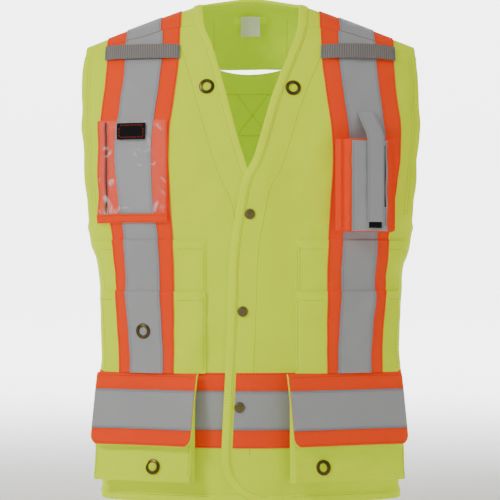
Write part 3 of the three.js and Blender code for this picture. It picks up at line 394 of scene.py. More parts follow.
def stitch(key, points, normals, length=3.1, pitch=STITCH_PITCH, radius=0.34):
    """Adds dashes of thread along a line on the cloth; key is (body, thread)."""
    run = distances(points)
    starts = np.arange(0.6, run[-1] - length, pitch)
    if not len(starts):
        return

    def at(marks, values):
        return np.stack([np.interp(marks, run, values[:, k]) for k in range(3)], -1)
    a, b = at(starts, points), at(starts + length, points)
    up = unit(at(starts + length / 2, normals))
    along = unit(b - a)
    side = np.cross(up, along)
    rings = [a, mix(a, b, 0.22), mix(a, b, 0.78), b]
    swell = [0.35, 1, 1, 0.35]
    drop = [-0.3, 0.15, 0.15, -0.3]
    corners = []
    for ring, size, low in zip(rings, swell, drop):
        centre = ring + up * low * radius
        for c, s in ((1, 0), (0, 1), (-1, 0), (0, -1)):
            corners.append(centre + (side * c + up * s) * radius * size)
    block = np.stack(corners, 1)
    STITCHES.setdefault(key, []).append(block)


def stitch_row(key, x, level, offset, lap=False, pitch=STITCH_PITCH):
    x, level = resample(x, level, 4, lap)
    theta = theta_at(x, level)
    stitch(key, lay(theta, level, offset, lap), outward(theta, level), pitch=pitch)


def sew(material_of):
    faces = []
    for ring in range(3):
        for k in range(4):
            a, b = ring * 4 + k, ring * 4 + (k + 1) % 4
            faces.append((a, b, b + 4, a + 4))
    faces += [(3, 2, 1, 0), (12, 13, 14, 15)]
    made = {}
    for (body, thread), blocks in STITCHES.items():
        block = np.concatenate(blocks)
        every = (np.array(faces)[None] + np.arange(len(block))[:, None, None] * 16).reshape(-1, 4)
        name = f"stitching_{thread}_{body}"
        made[(body, thread)] = make(name, block.reshape(-1, 3), every, material_of[thread], sharp=80)
    return made


# ---- Materials ----
def linear(*srgb):
    return tuple(c / 12.92 if c <= 0.04045 else ((c + 0.055) / 1.055) ** 2.4 for c in (v / 255 for v in srgb))


class Finish:
    """A new material, and short ways to add the nodes that feed its shader."""

    def __init__(self, name):
        self.material = bpy.data.materials.new(name)
        self.material.use_nodes = True
        self.nodes, self.link = self.material.node_tree.nodes, self.material.node_tree.links.new
        self.shader = next(n for n in self.nodes if n.type == "BSDF_PRINCIPLED").inputs
        self.place = self.node("ShaderNodeTexCoord").outputs["Object"]

    def node(self, kind, **settings):
        made = self.nodes.new(kind)
        for key, value in settings.items():
            if key in made.inputs:
                made.inputs[key].default_value = value
            else:
                setattr(made, key, value)
        return made

    def put(self, **values):
        """Sets the shader's own inputs; an underscore stands for a space."""
        for key, value in values.items():
            self.shader[key.replace("_", " ")].default_value = value

    def noise(self, scale, **settings):
        made = self.node("ShaderNodeTexNoise", Scale=scale, **settings)
        self.link(self.place, made.inputs["Vector"])
        return made.outputs["Fac"]

    def bands(self, direction, width, **settings):
        """Threads or ribs of a width in millimetres along one way of the cloth."""
        made = self.node("ShaderNodeTexWave", wave_type="BANDS", bands_direction=direction,
                         Scale=1000 / width / 6.283, Distortion=0.6, **settings)
        cloth = self.node("ShaderNodeUVMap", uv_map="cloth")
        self.link(cloth.outputs["UV"], made.inputs["Vector"])
        return made.outputs["Fac"]

    def both(self, operation, first, second):
        made = self.node("ShaderNodeMath", operation=operation)
        self.link(first, made.inputs[0])
        self.link(second, made.inputs[1])
        return made.outputs[0]

    def ranged(self, value, low, high, start=0.0, end=1.0, **settings):
        """The value's span from start to end, stretched to run from low to high."""
        limits = {"From Min": start, "From Max": end, "To Min": low, "To Max": high}
        made = self.node("ShaderNodeMapRange", **limits, **settings)
        self.link(value, made.inputs["Value"])
        return made.outputs["Result"]

    def tint(self, factor, colour, shade):
        made = self.node("ShaderNodeMix", data_type="RGBA")
        made.inputs[6].default_value = (*colour, 1)
        made.inputs[7].default_value = (*shade, 1)
        self.link(factor, made.inputs["Factor"])
        return made.outputs[2]

    def bump(self, height, strength, distance):
        made = self.node("ShaderNodeBump", Strength=strength, Distance=distance)
        self.link(height, made.inputs["Height"])
        return made


def cloth_material(name, colour, shade, thread=0.9, depth=0.25, roughness=0.9, glow=0.0):
    """Woven cloth: two crossing sets of threads, slow colour drift, fine fuzz and soft creases."""
    finish = Finish(name)
    warp, weft = (finish.bands(turn, thread, Detail=1.0, **{"Detail Scale": 2.0}) for turn in ("X", "Y"))
    weave = finish.both("MULTIPLY", warp, weft)
    drift = finish.noise(9.0, Detail=4.0, Roughness=0.6)
    worn = finish.tint(finish.ranged(drift, 0.0, 0.35, start=0.3, end=0.75), colour, shade)
    grain = finish.node("ShaderNodeMix", data_type="RGBA", blend_type="MULTIPLY", Factor=0.10)
    finish.link(worn, grain.inputs[6])
    finish.link(weave, grain.inputs[7])
    finish.link(grain.outputs[2], finish.shader["Base Color"])
    fine = finish.bump(weave, depth, 0.0003)
    crease = finish.bump(finish.noise(38.0, Detail=3.0, Roughness=0.55), 0.25, 0.0012)
    finish.link(fine.outputs["Normal"], crease.inputs["Normal"])
    finish.link(crease.outputs["Normal"], finish.shader["Normal"])
    fuzz = finish.noise(900.0, Detail=3.0)
    rough = finish.ranged(fuzz, roughness - 0.08, min(roughness + 0.08, 1))
    finish.link(rough, finish.shader["Roughness"])
    finish.put(Specular_IOR_Level=0.06)
    # Painted glow: the cloth gives off light in its own colour, with no lamp behind it.
    if glow:
        finish.put(Emission_Color=(*colour, 1), Emission_Strength=glow)
    return finish.material


def plain_material(name, colour, shade, roughness, metallic, scale, bump):
    """A solid finish whose colour and roughness drift with fine wear."""
    finish = Finish(name)
    wear = finish.noise(scale, Detail=5.0, Roughness=0.65)
    finish.link(finish.tint(wear, colour, shade), finish.shader["Base Color"])
    rough = finish.ranged(wear, max(roughness - 0.12, 0.02), min(roughness + 0.12, 1))
    finish.link(rough, finish.shader["Roughness"])
    finish.link(finish.bump(wear, bump, 0.0002).outputs["Normal"], finish.shader["Normal"])
    finish.put(Metallic=metallic)
    return finish.material


def thread_material(name, colour, shade):
    return plain_material(name, colour, shade, 0.8, 0.0, 900.0, 0.1)


def webbing_material():
    """Ribbed narrow webbing: strong ribs across its run, fine threads between."""
    finish = Finish("webbing")
    ribs, picks = finish.bands("X", 1.7), finish.bands("Y", 0.8)
    colour = finish.tint(ribs, linear(108, 101, 96), linear(140, 133, 127))
    finish.link(colour, finish.shader["Base Color"])
    relief = finish.bump(finish.both("ADD", ribs, picks), 0.7, 0.0006)
    finish.link(relief.outputs["Normal"], finish.shader["Normal"])
    finish.put(Roughness=0.7)
    return finish.material


def vinyl_material():
    """Clear flexible vinyl: a thin gloss film that lets most light straight through, with painted glare in
    near-white patches.
    """
    finish = Finish("vinyl")
    buckle = finish.noise(55.0, Detail=2.0, Distortion=0.8)
    finish.link(finish.bump(buckle, 0.5, 0.002).outputs["Normal"], finish.shader["Normal"])
    # Painted glare: where this noise is high, the near-white film turns less clear.
    glare = finish.noise(26.0, Detail=2.0, Distortion=2.5)
    finish.link(finish.ranged(glare, 0.03, 0.3, start=0.61, end=0.75), finish.shader["Alpha"])
    finish.put(Base_Color=(0.95, 0.97, 1.0, 1), Roughness=0.06)
    return finish.material


LIME, LIME_SHADE = linear(225, 250, 10), linear(208, 236, 0)
ORANGE, ORANGE_SHADE = linear(255, 74, 26), linear(244, 62, 16)
SILVER, SILVER_SHADE = linear(166, 166, 166), linear(150, 151, 153)
MAT = {
    # The glow values are painted glow, on the label as well as on the fluorescent cloth.
    "lime": cloth_material("lime_cloth", LIME, LIME_SHADE, glow=0.10),
    "lime_tape": cloth_material("lime_binding", LIME, LIME_SHADE, thread=0.6, depth=0.35, glow=0.14),
    "orange": cloth_material("orange_tape", ORANGE, ORANGE_SHADE, thread=0.7, depth=0.2, glow=0.10),
    "silver": cloth_material("silver_tape", SILVER, SILVER_SHADE, thread=0.35, depth=0.12, roughness=0.55),
    "blue_edge": cloth_material("silver_edge", linear(126, 146, 156), linear(110, 130, 142),
                                thread=0.5, roughness=0.5),
    "webbing": webbing_material(),
    "black": cloth_material("hook_tape", linear(26, 25, 25), linear(44, 42, 41), thread=1.1, depth=0.8),
    "dark": cloth_material("pocket_shadow", linear(30, 16, 10), linear(20, 10, 8),
                           thread=1.0, roughness=0.95),
    "label": cloth_material("label_cloth", linear(232, 232, 236), linear(220, 220, 226),
                            thread=0.5, depth=0.2, glow=0.05),
    "vinyl": vinyl_material(),
    "bronze": plain_material("antique_bronze", linear(112, 96, 58), linear(58, 46, 26),
                             0.36, 0.9, 420.0, 0.3),
    "bronze_cap": plain_material("antique_bronze_cap", linear(132, 120, 78), linear(84, 76, 44),
                                 0.42, 0.75, 700.0, 0.4),
    "lime_thread": thread_material("lime_thread", linear(178, 202, 0), linear(160, 184, 0)),
    "orange_thread": thread_material("orange_thread", linear(214, 52, 16), linear(196, 44, 12)),
    "grey_thread": thread_material("grey_thread", linear(120, 126, 130), linear(98, 104, 110)),
}


def settle(piece, kind, body, *nodes, blends=False):
    """Hides the nodes that the piece stands for and hangs the piece on its body, or with blends bakes its
    place into its mesh; kind is not used.
    """
    if nodes:
        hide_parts(*nodes)
    if blends:
        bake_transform(piece)
    else:
        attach(piece, body)


def declare(name, *carriers):
    """Works out the widest, the longest and the area of the piece's dressed cloth, and keeps none of them."""
    grid = CUT[name]
    uv = lengths(grid) / 1000
    width = float(np.ptp(uv[..., 0], axis=1).max())
    length = float(np.ptp(uv[..., 1], axis=0).max())
    first = np.cross(grid[:-1, 1:] - grid[:-1, :-1], grid[1:, :-1] - grid[:-1, :-1])
    second = np.cross(grid[1:, :-1] - grid[1:, 1:], grid[:-1, 1:] - grid[1:, 1:])
    area = float((np.linalg.norm(first, axis=-1) + np.linalg.norm(second, axis=-1)).sum() / 2e6)
    area = min(max(area, 0.31 * width * length), width * length)


def cut(name, grid, thick, kind, body, *nodes, blends=False):
    """A slab of cloth in its finish, on its body."""
    settle(slab(name, grid, thick, MAT[kind]), kind, body, *nodes, blends=blends)


# ---- Back ----
def row_level(row, top):
    return np.where(row < 0, row + 1, 1 + row * (top - 1))


def outer_theta(row, top, back):
    level = row_level(row, top)
    flat = np.minimum(level, 1)
    seam = np.full(np.shape(level), math.pi / 2 - 0.0008)
    at_hole = theta_at(armhole(level), np.where(back, 4 - flat, flat))
    ease = smooth((level * CHEST_HEIGHT - PIT_HEIGHT) / 26)
    return np.where(level * CHEST_HEIGHT <= PIT_HEIGHT, seam, np.minimum(seam, mix(seam, at_hole, ease)))


def back_top(x):
    dip = SLIT_OPENING * np.maximum(1 - (x / SLIT_HALF) ** 2, 0)
    return level_of(x, YOKE_SEAM - 0.3 - dip)


def back_lay(column, row, offset):
    flat = np.minimum(row_level(row, back_top(0)), 1)
    theta = column * outer_theta(row, back_top(SHOULDER_REACH), True)
    x = form(theta, 4 - flat)[..., 0]
    level = 4 - row_level(row, back_top(x))
    return lay(theta, level, offset)


def back_band(kind):
    low, high, offset = WAIST[kind]
    rows = np.linspace(low / CHEST_HEIGHT - 1, high / CHEST_HEIGHT - 1, 14)
    column, row = np.meshgrid(np.linspace(-1, 1, 120), rows)
    grid = back_lay(column, row, offset + TAPE)
    cut(f"back_waist_{kind}_tape", grid, TAPE, kind, "back", f"back_waist_{kind}")


BACK_CROSS_STITCH = ((-44, 563, 62, 563), (-30, 504, 42, 504), (-20, 563, 26, 504), (26, 563, -20, 504))


def back():
    rows = np.concatenate([np.linspace(0, 1, 74)[:-1] - 1, np.linspace(0, 1, 34)])
    column, row = np.meshgrid(np.linspace(-1, 1, 120), rows)
    cut("back_cloth", back_lay(column, row, CLOTH), CLOTH, "lime", "back", "back_panel")
    declare("back_cloth", "yoke_cloth")
    back_band("orange")
    back_band("silver")
    edge = np.linspace(-1, 1, 160)
    hem = back_lay(edge, np.full(edge.shape, -1.0), 0)
    piece = binding("back_hem_tape", hem[:, 0], np.full(len(hem), 4.0), 1, MAT["lime_tape"])
    settle(piece, "lime_tape", "back", "back_hem_binding")
    xs = np.linspace(-186, 186, 60)
    for kind in ("silver", "orange"):
        low, high, offset = WAIST[kind]
        for z in (low + SEAM_IN, high - SEAM_IN):
            stitch_row(("back", THREAD[kind]), xs, np.full(60, 4 - z / CHEST_HEIGHT), offset + TAPE)
    key = ("back", "lime_thread")
    stitch_row(key, xs, np.full(60, 4 - HEM_STITCH / CHEST_HEIGHT), 2.9)
    for x0, z0, x1, z1 in BACK_CROSS_STITCH:
        x, z = np.linspace(x0, x1, 30), np.linspace(z0, z1, 30)
        level = 4 - level_of(x, z)
        theta = theta_at(x, level)
        stitch(key, lay(theta, level, -0.25), -outward(theta, level))
    xs = np.linspace(-200, 200, 50)
    for z in (YOKE_SEAM + 4, YOKE_SEAM + 9):
        stitch_row(key, xs, 4 - level_of(xs, z), 1.3)


def neckline():
    """The neck edge in plan, from the left shoulder seam round the back to the right one, and its level."""
    count = 60
    seam_x = [side * float(edge_curve[side](shoulder_seam(0))) for side in (1, -1)]
    seam_y = float(form(theta_at(seam_x[0], 1), float(shoulder_seam(0)))[1])
    plan = []
    for t in np.linspace(0, 1, count // 4)[:-1]:
        plan.append((mix(seam_x[0], NECK_HALF, t), mix(seam_y, 0, t)))
    for a in np.radians(np.linspace(90, -90, count)):
        plan.append((NECK_HALF * math.sin(a), NECK_BACK_DEPTH * math.cos(a)))
    for t in np.linspace(0, 1, count // 4)[1:]:
        plan.append((mix(-NECK_HALF, seam_x[1], t), mix(0, seam_y, t)))
    x, y = np.array(plan).T
    return x, level_in_plan(x, y)


def level_in_plan(x, y):
    """The level above the chest whose point on the form lies at (x, y) in plan."""
    x = np.asarray(x, float)
    ahead = 1 + np.arccos(np.clip(-y / -form(theta_at(x, 1.0), 1.0)[..., 1], 0, 1)) / (math.pi / 2)
    behind = 3 - np.arccos(np.clip(y / form(theta_at(x, 3.0), 3.0)[..., 1], 0, 1)) / (math.pi / 2)
    return np.where(y < 0, ahead, behind)


def yoke():
    x, level = neckline()
    settle(binding("neck_tape", x, level, 1, MAT["lime_tape"]), "lime_tape", "back", "neck_binding")
    corners = np.array([-NECK_HALF - 0.02, 0.02 - NECK_HALF, NECK_HALF - 0.02, NECK_HALF + 0.02])
    shares = np.sort(np.concatenate([np.linspace(-1, 1, 141), corners / YOKE_TOP_HALF]))
    x_top, x_low = shares * YOKE_TOP_HALF, shares * YOKE_LOW_HALF
    low = 4 - level_of(x_low, YOKE_SEAM + 0.3)
    depth = NECK_BACK_DEPTH * np.sqrt(np.maximum(1 - (x_top / NECK_HALF) ** 2, 0)) + 0.8
    at_neck = np.abs(x_top) < NECK_HALF
    high = np.where(at_neck, level_in_plan(x_top, depth), shoulder_seam(x_top) + YOKE_SEAM_LAP)
    rows = np.linspace(0, 1, 45)[:, None]
    grid = on_cloth(mix(x_top, x_low, rows), mix(high, low, rows), CLOTH)
    cut("yoke_cloth", grid, CLOTH, "lime", "back", "back_yoke")
    declare("yoke_cloth")


CROSS = {"start": 2.35, "ease": 0.15, "top": 146, "bottom": 120, "orange": 54, "silver": 27}


def cross_grid(side, half, offset, across=15, inset=0.0):
    """A tape from the shoulder seam over the ridge and down across the back, and its outward directions."""
    last = 4 - (WAIST["orange"][1] + 2) / CHEST_HEIGHT
    row = np.concatenate([np.linspace(-1, 0, 14)[:-1], np.linspace(0, 1, 110)])[:, None]
    share = np.linspace(-1, 1, across)[None, :]
    turn = np.clip((mix(2, last, row) - CROSS["start"]) / (last - CROSS["start"]), 0, 1)
    run = turn ** 2 * (1 + CROSS["ease"]) / (turn + CROSS["ease"])
    half_here = mix(half - 3, half, smooth(row * 6)) - inset
    x = mix(CROSS["top"], -CROSS["bottom"], run) * side + share * half_here
    level = np.where(row < 0, mix(2, shoulder_seam(x) + YOKE_SEAM_LAP, -row), mix(2, last, row))
    over = 2 * smooth((level - 2.1) / 0.3) if side < 0 else 0
    theta = theta_at(x, level)
    return lay(theta, level, offset + over), outward(theta, level)


def cross_tapes():
    for side, hand in HANDS.items():
        for kind, offset in (("orange", 2.1), ("silver", 3.2)):
            grid, _ = cross_grid(side, CROSS[kind], offset + TAPE)
            cut(f"back_x_{kind}_tape_{hand}", grid, TAPE, kind, "back", f"back_x_{kind}_{hand}")
        for kind, lift in (("silver", 3.95), ("orange", 2.85)):
            grid, normal = cross_grid(side, CROSS[kind], lift, across=3, inset=1.8)
            for k in (0, 2):
                stitch(("back", THREAD[kind]), grid[:, k], normal[:, k])


def neck_fittings():
    x, z = np.meshgrid(np.linspace(-14, 14, 13), np.linspace(646, 673, 13))
    curl = 0.9 * ((x / 14) ** 2) + 1.2 * smooth((656 - z) / 12)
    cut("blank_label", on_cloth(x, 4 - level_of(x, z), -5.4 - curl), 0.5, "label", "back", "size_label")
    share, across = np.meshgrid(np.linspace(-1, 1, 25), np.linspace(-0.5, 0.5, 5))
    sag = 3 * (1 - share * share)
    grid = on_cloth(share * 24, 4 - level_of(share * 24, 666 + across * 9), -0.9 - sag)
    cut("hang_tape", grid, 0.9, "lime_tape", "back", "hang_loop")
    declare("hang_tape", "yoke_cloth")
    for x in (-52.0, 52.0):
        xs = np.full(10, x)
        stitch_row(("back", "lime_thread"), xs, 4 - level_of(xs, np.linspace(610, 668, 10)), -0.2)


# ---- Fronts ----
def edge_half(side, level):
    drop = np.maximum(CORNER[side] - level * CHEST_HEIGHT, 0)
    return edge_curve[side](level) + CORNER[side] - np.sqrt(CORNER[side] ** 2 - drop ** 2)


def hinge_theta(level):
    """The angle of the line beside the side seam that the front turns about."""
    half = seam_half(np.minimum(level, 1) * CHEST_HEIGHT)
    return np.arccos(HINGE_FORWARD / half)


def front_angles(side, column, row):
    """Unsigned angle and level of a place on a front: column 0 edge, 1 facing, 2 body, 3 the side."""
    level0 = row_level(row, shoulder_seam(0))
    flat = np.minimum(level0, 1)
    edge = edge_half(side, level0)
    facing = edge + FACING
    body = np.maximum(facing + 8, BODY_START)
    near = mix(edge, mix(facing, body, np.clip(column - 1, 0, 1)), np.clip(column, 0, 1))
    level_side = row_level(row, shoulder_seam(SHOULDER_REACH))
    limit = outer_theta(row, shoulder_seam(SHOULDER_REACH), False)
    below = 1 - smooth((level_side * CHEST_HEIGHT - PIT_HEIGHT + 8) / 30)
    limit = mix(limit, np.minimum(limit, hinge_theta(level_side)), below)
    theta = mix(theta_at(near, flat), limit, np.clip(column - 2, 0, 1))
    x = form(theta, flat)[..., 0]
    return theta, row_level(row, shoulder_seam(x))


def front_grid(side, columns, rows, offset):
    column, row = np.meshgrid(columns, rows)
    theta, level = front_angles(side, column, row)
    return lay(theta * side, level, offset, lap=side > 0)


def front_line(side, columns, z, offset):
    """A level line across a front at the height z, and its outward directions."""
    column, row = np.meshgrid(columns, [z / CHEST_HEIGHT - 1])
    theta, level = front_angles(side, column, row)
    theta = theta * side
    return lay(theta, level, offset, lap=side > 0)[0], outward(theta, level)[0]


LOW_ROWS = np.concatenate([np.array([0, .3, 1, 2, 3.5, 5.5, 8, 11, 15, 19, 24, 29, 35, 41, 48, 54, 60]),
                           np.arange(66, 430, 6)]) / CHEST_HEIGHT - 1
FRONT_ROWS = np.concatenate([LOW_ROWS, np.linspace(0, 1, 46)])
FRONT_COLUMNS = np.concatenate([np.linspace(0, 1, 9)[:-1], np.linspace(1, 2, 4)[:-1], np.linspace(2, 3, 36)])


def carrier(z):
    """How far the cloth that carries the vertical tape stands off: the panel, then each tool pocket."""
    def step(top):
        return 1 - smooth((z - top + 0.2) / 2.2)
    return CLOTH + 2.6 * step(TOOL_TOP["upper"]) + 3 * step(TOOL_TOP["lower"])


def brace_grid(side, low, high, lift, columns=13, inset=0.0):
    """A grid of the vertical tape between two of its lines, and its outward directions."""
    heights = np.concatenate([np.arange(TOOL_BOTTOM, 270, 6), np.arange(270, 362, 1.2),
                              np.arange(364, CHEST_HEIGHT, 6)])
    row = np.concatenate([heights / CHEST_HEIGHT - 1, np.linspace(0, 1, 44)])
    share, row = np.meshgrid(np.linspace(0, 1, columns), row)
    level = row_level(row, shoulder_seam(146))
    z = form(theta_at(146.0, level), level)[..., 2]
    x = mix(low(z) + inset, high(z) - inset, share)
    height = row_level(row, shoulder_seam(x))
    theta = theta_at(x * side, height)
    return lay(theta, height, carrier(z) + lift, lap=False), outward(theta, height)


def brace(side, hand, body):
    low, silver_low, silver_high, high = brace_lines
    for kind, a, b, lift in (("orange", low, high, 0.5), ("silver", silver_low, silver_high, 1.4)):
        grid, _ = brace_grid(side, a, b, lift + TAPE)
        cut(f"brace_{kind}_tape_{hand}", grid, TAPE, kind, body, f"brace_{kind}_{hand}", blends=True)
    for kind, a, b, lift in (("silver", silver_low, silver_high, 2.15), ("orange", low, high, 1.25)):
        grid, normal = brace_grid(side, a, b, lift, columns=3, inset=SEAM_IN)
        for k in (0, 2):
            stitch((body, THREAD[kind]), grid[:, k], normal[:, k])
    half = EDGE_TAPE_HALF
    for name, start, end in (("inner", lambda z: silver_low(z) - half, silver_low),
                             ("outer", silver_high, lambda z: silver_high(z) + half)):
        grid, _ = brace_grid(side, start, end, 1.4 + TAPE + 0.12, columns=2)
        cut(f"brace_edge_{name}_{hand}", grid, EDGE_TAPE, "blue_edge", body, blends=True)


def waist(side, hand, body):
    start = OVER_BAND_COLUMN if side > 0 else (UNDER_BAND_START + 8) / FACING
    columns = np.concatenate([np.linspace(start, 1, 6)[:-1], np.linspace(1, 2, 4)[:-1],
                              np.linspace(2, 3, 36)])
    for kind, (low, high, offset) in WAIST.items():
        rows = np.linspace(low, high, 14) / CHEST_HEIGHT - 1
        grid = front_grid(side, columns, rows, offset + TAPE)
        cut(f"waist_{kind}_tape_{hand}", grid, TAPE, kind, body, f"waist_{kind}_{hand}", blends=True)
        for z in (low + SEAM_IN, high - SEAM_IN):
            line, normal = front_line(side, columns, z, offset + TAPE + 0.1)
            stitch((body, THREAD[kind]), line, normal)
    for name, z in zip(("low", "high"), WAIST["silver"]):
        rows = np.array([z - EDGE_TAPE_HALF, z + EDGE_TAPE_HALF]) / CHEST_HEIGHT - 1
        edge = front_grid(side, columns, rows, WAIST["silver"][2] + TAPE + 0.15)
        cut(f"waist_edge_{name}_{hand}", edge, EDGE_TAPE, "blue_edge", body, blends=True)


def side_strip(side, hand):
    """The narrow part of the front between the side seam and the fold that the front turns about."""
    height = np.concatenate([np.linspace(0, PIT_HEIGHT, 60)[:-1],
                             np.linspace(PIT_HEIGHT, PIT_HEIGHT + 24, 25)])[:, None]
    share = np.concatenate([np.linspace(0, 0.84, 8), np.linspace(0.88, 1, 6)])[None, :]
    start = np.arccos((HINGE_FORWARD + 9) / seam_half(height))
    limit = outer_theta(height / CHEST_HEIGHT - 1, shoulder_seam(SHOULDER_REACH), False)
    kept = ((height <= PIT_HEIGHT) | (limit > start + 0.012))[:, 0]
    height, start, limit = height[kept], start[kept], limit[kept]
    reach = start[0, 0] + (math.pi / 2 - start[0, 0]) / 0.86
    above_pit = np.where(height > PIT_HEIGHT, np.maximum(limit, start + 0.004), 9)
    theta = np.minimum(mix(start, reach, share), above_pit)
    tuck = 1.7 * smooth(1 - share * 2.2) + 1.5 * smooth((theta - math.pi / 2 + 0.004) / 0.008)
    grid = lay(theta * side, height / CHEST_HEIGHT + 0 * theta, CLOTH - tuck)
    cut(f"side_cloth_{hand}", grid, CLOTH, "lime", "back")
    for kind, (low, high, offset) in WAIST.items():
        level = np.linspace(low, high, 14)[:, None] / CHEST_HEIGHT
        band = mix(hinge_theta(level), math.pi / 2 - 0.0004, np.linspace(0, 1, 7)[None, :])
        grid = lay(band * side, level + 0 * band, offset + TAPE)
        cut(f"side_{kind}_tape_{hand}", grid, TAPE, kind, "back")
    edge = np.linspace(float(hinge_theta(np.array(0.0))), math.pi / 2 - 0.002, 8) * side
    hem = form(edge, 0.0)
    piece = binding(f"side_hem_tape_{hand}", hem[:, 0], np.zeros(len(hem)), -side, MAT["lime_tape"])
    settle(piece, "lime_tape", "back")


def front_panel(side, hand, body):
    grid = front_grid(side, FRONT_COLUMNS, FRONT_ROWS, CLOTH)
    cut(f"front_cloth_{hand}", grid, CLOTH, "lime", body, f"front_panel_{hand}", blends=True)
    declare(f"front_cloth_{hand}", "yoke_cloth")
    rows = FRONT_ROWS[FRONT_ROWS >= FACING_END / CHEST_HEIGHT - 1]
    grid = front_grid(side, np.linspace(0, 1, 10), rows, -0.3)
    cut(f"facing_cloth_{hand}", grid, TAPE, "lime", body, f"front_facing_{hand}", blends=True)
    edge_level = row_level(FRONT_ROWS[::-1], shoulder_seam(0))
    edge_x = edge_half(side, edge_level) * side
    columns = FRONT_COLUMNS[1:]
    theta, _ = front_angles(side, columns, np.full(columns.shape, -1.0))
    xs = np.concatenate([edge_x, form(theta, 0.0)[..., 0] * side])
    levels = np.concatenate([edge_level, np.zeros(len(columns))])
    piece = binding(f"front_edge_tape_{hand}", xs, levels, -side, MAT["lime_tape"], lap=side > 0)
    settle(piece, "lime_tape", body, f"edge_binding_{hand}", blends=True)
    key = (body, "lime_thread")
    for across, lift, foot in ((BINDING - 1.6, 2.95, 4), (FACING, 1.3, FACING_END)):
        theta, level = beside(*resample(edge_x, edge_level, 4), -side * across)
        kept = (level > foot / CHEST_HEIGHT) & (level < 1.68)
        stitch(key, lay(theta, level, lift, lap=side > 0)[kept], outward(theta, level)[kept])
    stitch(key, *front_line(side, np.linspace(1.6, 3, 30), HEM_STITCH, 2.95))
    level = row_level(np.linspace(-0.1, 1, 40), shoulder_seam(SHOULDER_REACH))
    kept = level * CHEST_HEIGHT > PIT_HEIGHT + 10
    for inset in (8, 12):
        x = np.minimum(armhole(level) - inset, YOKE_TOP_HALF)
        stitch_row(key, x[kept] * side, level[kept], 1.3)


def tool_pocket(side, hand, body, tier):
    top = TOOL_TOP[tier]
    z = np.concatenate([np.arange(TOOL_BOTTOM, top - 14, 6), np.linspace(top - 13, top - 2, 5),
                        np.linspace(top - 1, top, 3)])
    near_edge = np.array([0, .006, .02, .045, .08])
    shares = np.concatenate([near_edge, np.linspace(.12, .88, 26), [.92, .955, .98, .994, 1]])
    share, height = np.meshgrid(shares, z)
    level = height / CHEST_HEIGHT
    outer = theta_at(seam_half(height) - TOOL_SIDE_INSET, level)
    theta = mix(theta_at(float(TOOL_INNER), level), outer, share) * side
    edge = smooth(np.minimum(share, 1 - share) / 0.06)
    hem = smooth((height - top + 12.5) / 1.2) * 0.45
    stand = mix(1.35 if tier == "upper" else 3.6, TOOL_OFFSET[tier], edge) + TOOL_CLOTH + hem
    grid = lay(theta, level, stand, lap=False)
    grid = grid + outward(theta, level) * lap_rise(form(theta, level)[..., 0], level)[..., None] * (side > 0)
    node = f"tool_pocket_{tier}_{hand}"
    cut(f"tool_cloth_{tier}_{hand}", grid, TOOL_CLOTH, "lime", body, node, blends=True)
    key = (body, "lime_thread")
    zs = np.arange(TOOL_BOTTOM + 4, top, 6.0)
    lift = 3.0 if tier == "upper" else 5.6
    for inset in ((2.5, 8) if tier == "upper" else (2.5,)):
        inner = np.full(len(zs), (TOOL_INNER + inset) * side)
        stitch_row(key, inner, zs / CHEST_HEIGHT, lift, lap=side > 0)
        stitch_row(key, (seam_half(zs) - TOOL_SIDE_INSET - inset) * side, zs / CHEST_HEIGHT, lift)
    for start, end in ((TOOL_INNER + 4, 98), (184, 203)):
        level = np.full(12, (top - 12) / CHEST_HEIGHT)
        stitch_row(key, np.linspace(start, end, 12) * side, level, TOOL_OFFSET[tier] + 1.0, lap=side > 0)
    if side > 0 and tier == "upper":
        zs = np.arange(TOOL_BOTTOM + 112, top - 2, 6.0)
        stitch_row(key, np.full(len(zs), 66.0), zs / CHEST_HEIGHT, 4.0, lap=True)


def mic_tab(side, hand, body):
    share, height = np.meshgrid(np.linspace(0, 1, 40), np.linspace(*WEBBING_Z, 8))
    x = mix(*WEBBING_X, share)
    proud = 4 * np.sin(math.pi * share) ** 0.8
    grid = on_cloth(x * side, level_of(x, height), 2.6 + proud + WEBBING)
    cut(f"mic_webbing_{hand}", grid, WEBBING, "webbing", body, f"mic_tab_{hand}", blends=True)
    z = np.linspace(WEBBING_Z[0] + 2, WEBBING_Z[1] - 2, 8)
    for end in (WEBBING_X[0] + 2.5, WEBBING_X[1] - 2.5):
        for k in range(4):
            x = np.full(8, end + (k - 1.5) * 1.1)
            stitch_row((body, "grey_thread"), x * side, level_of(x, z), 4.45, pitch=3.4)


# ---- Pockets ----
# Each cargo pocket's inner edge, outer edge and eyelet, from the vest's middle.
CARGO = {1: (50, 202, 89), -1: (72, 205, 123)}


def facet_point(side, u, out, z):
    """A point at u along the flat part of a front, out from the form and z above the hem."""
    normal = np.array([math.sin(FACET_ANGLE), -math.cos(FACET_ANGLE), 0])
    across = np.array([math.cos(FACET_ANGLE), math.sin(FACET_ANGLE), 0])
    u, out, z = np.broadcast_arrays(u, out, z)
    point = u[..., None] * across + (FACET_REACH + out)[..., None] * normal
    point = point + np.array([0, 0, 1]) * np.asarray(z)[..., None]
    return point * [side, 1, 1]


def facet_tilt(side, out, up):
    """A direction square to the flat part of a front, tilted by out and up."""
    return unit(facet_point(side, 0.0, out, up) - facet_point(side, 0.0, 0.0, 0.0))


def facet_run(x):
    return (x - FACET_REACH * math.sin(FACET_ANGLE)) / math.cos(FACET_ANGLE)


def profile(points, count, rounding=3):
    """A polyline of [a, b] corners, rounded and resampled evenly."""
    points = np.array(points, float)
    for _ in range(rounding):
        q = mix(points[:-1], points[1:], 0.25)
        r = mix(points[:-1], points[1:], 0.75)
        points = np.concatenate([points[:1], np.stack([q, r], 1).reshape(-1, 2), points[-1:]])
    run = distances(points)
    marks = np.linspace(0, run[-1], count)
    return np.stack([np.interp(marks, run, points[:, k]) for k in (0, 1)], -1)


def cargo_depth(z):
    return mix(CARGO_DEEP, CARGO_SHALLOW, (z - CARGO_LOW) / (CARGO_MOUTH - CARGO_LOW))


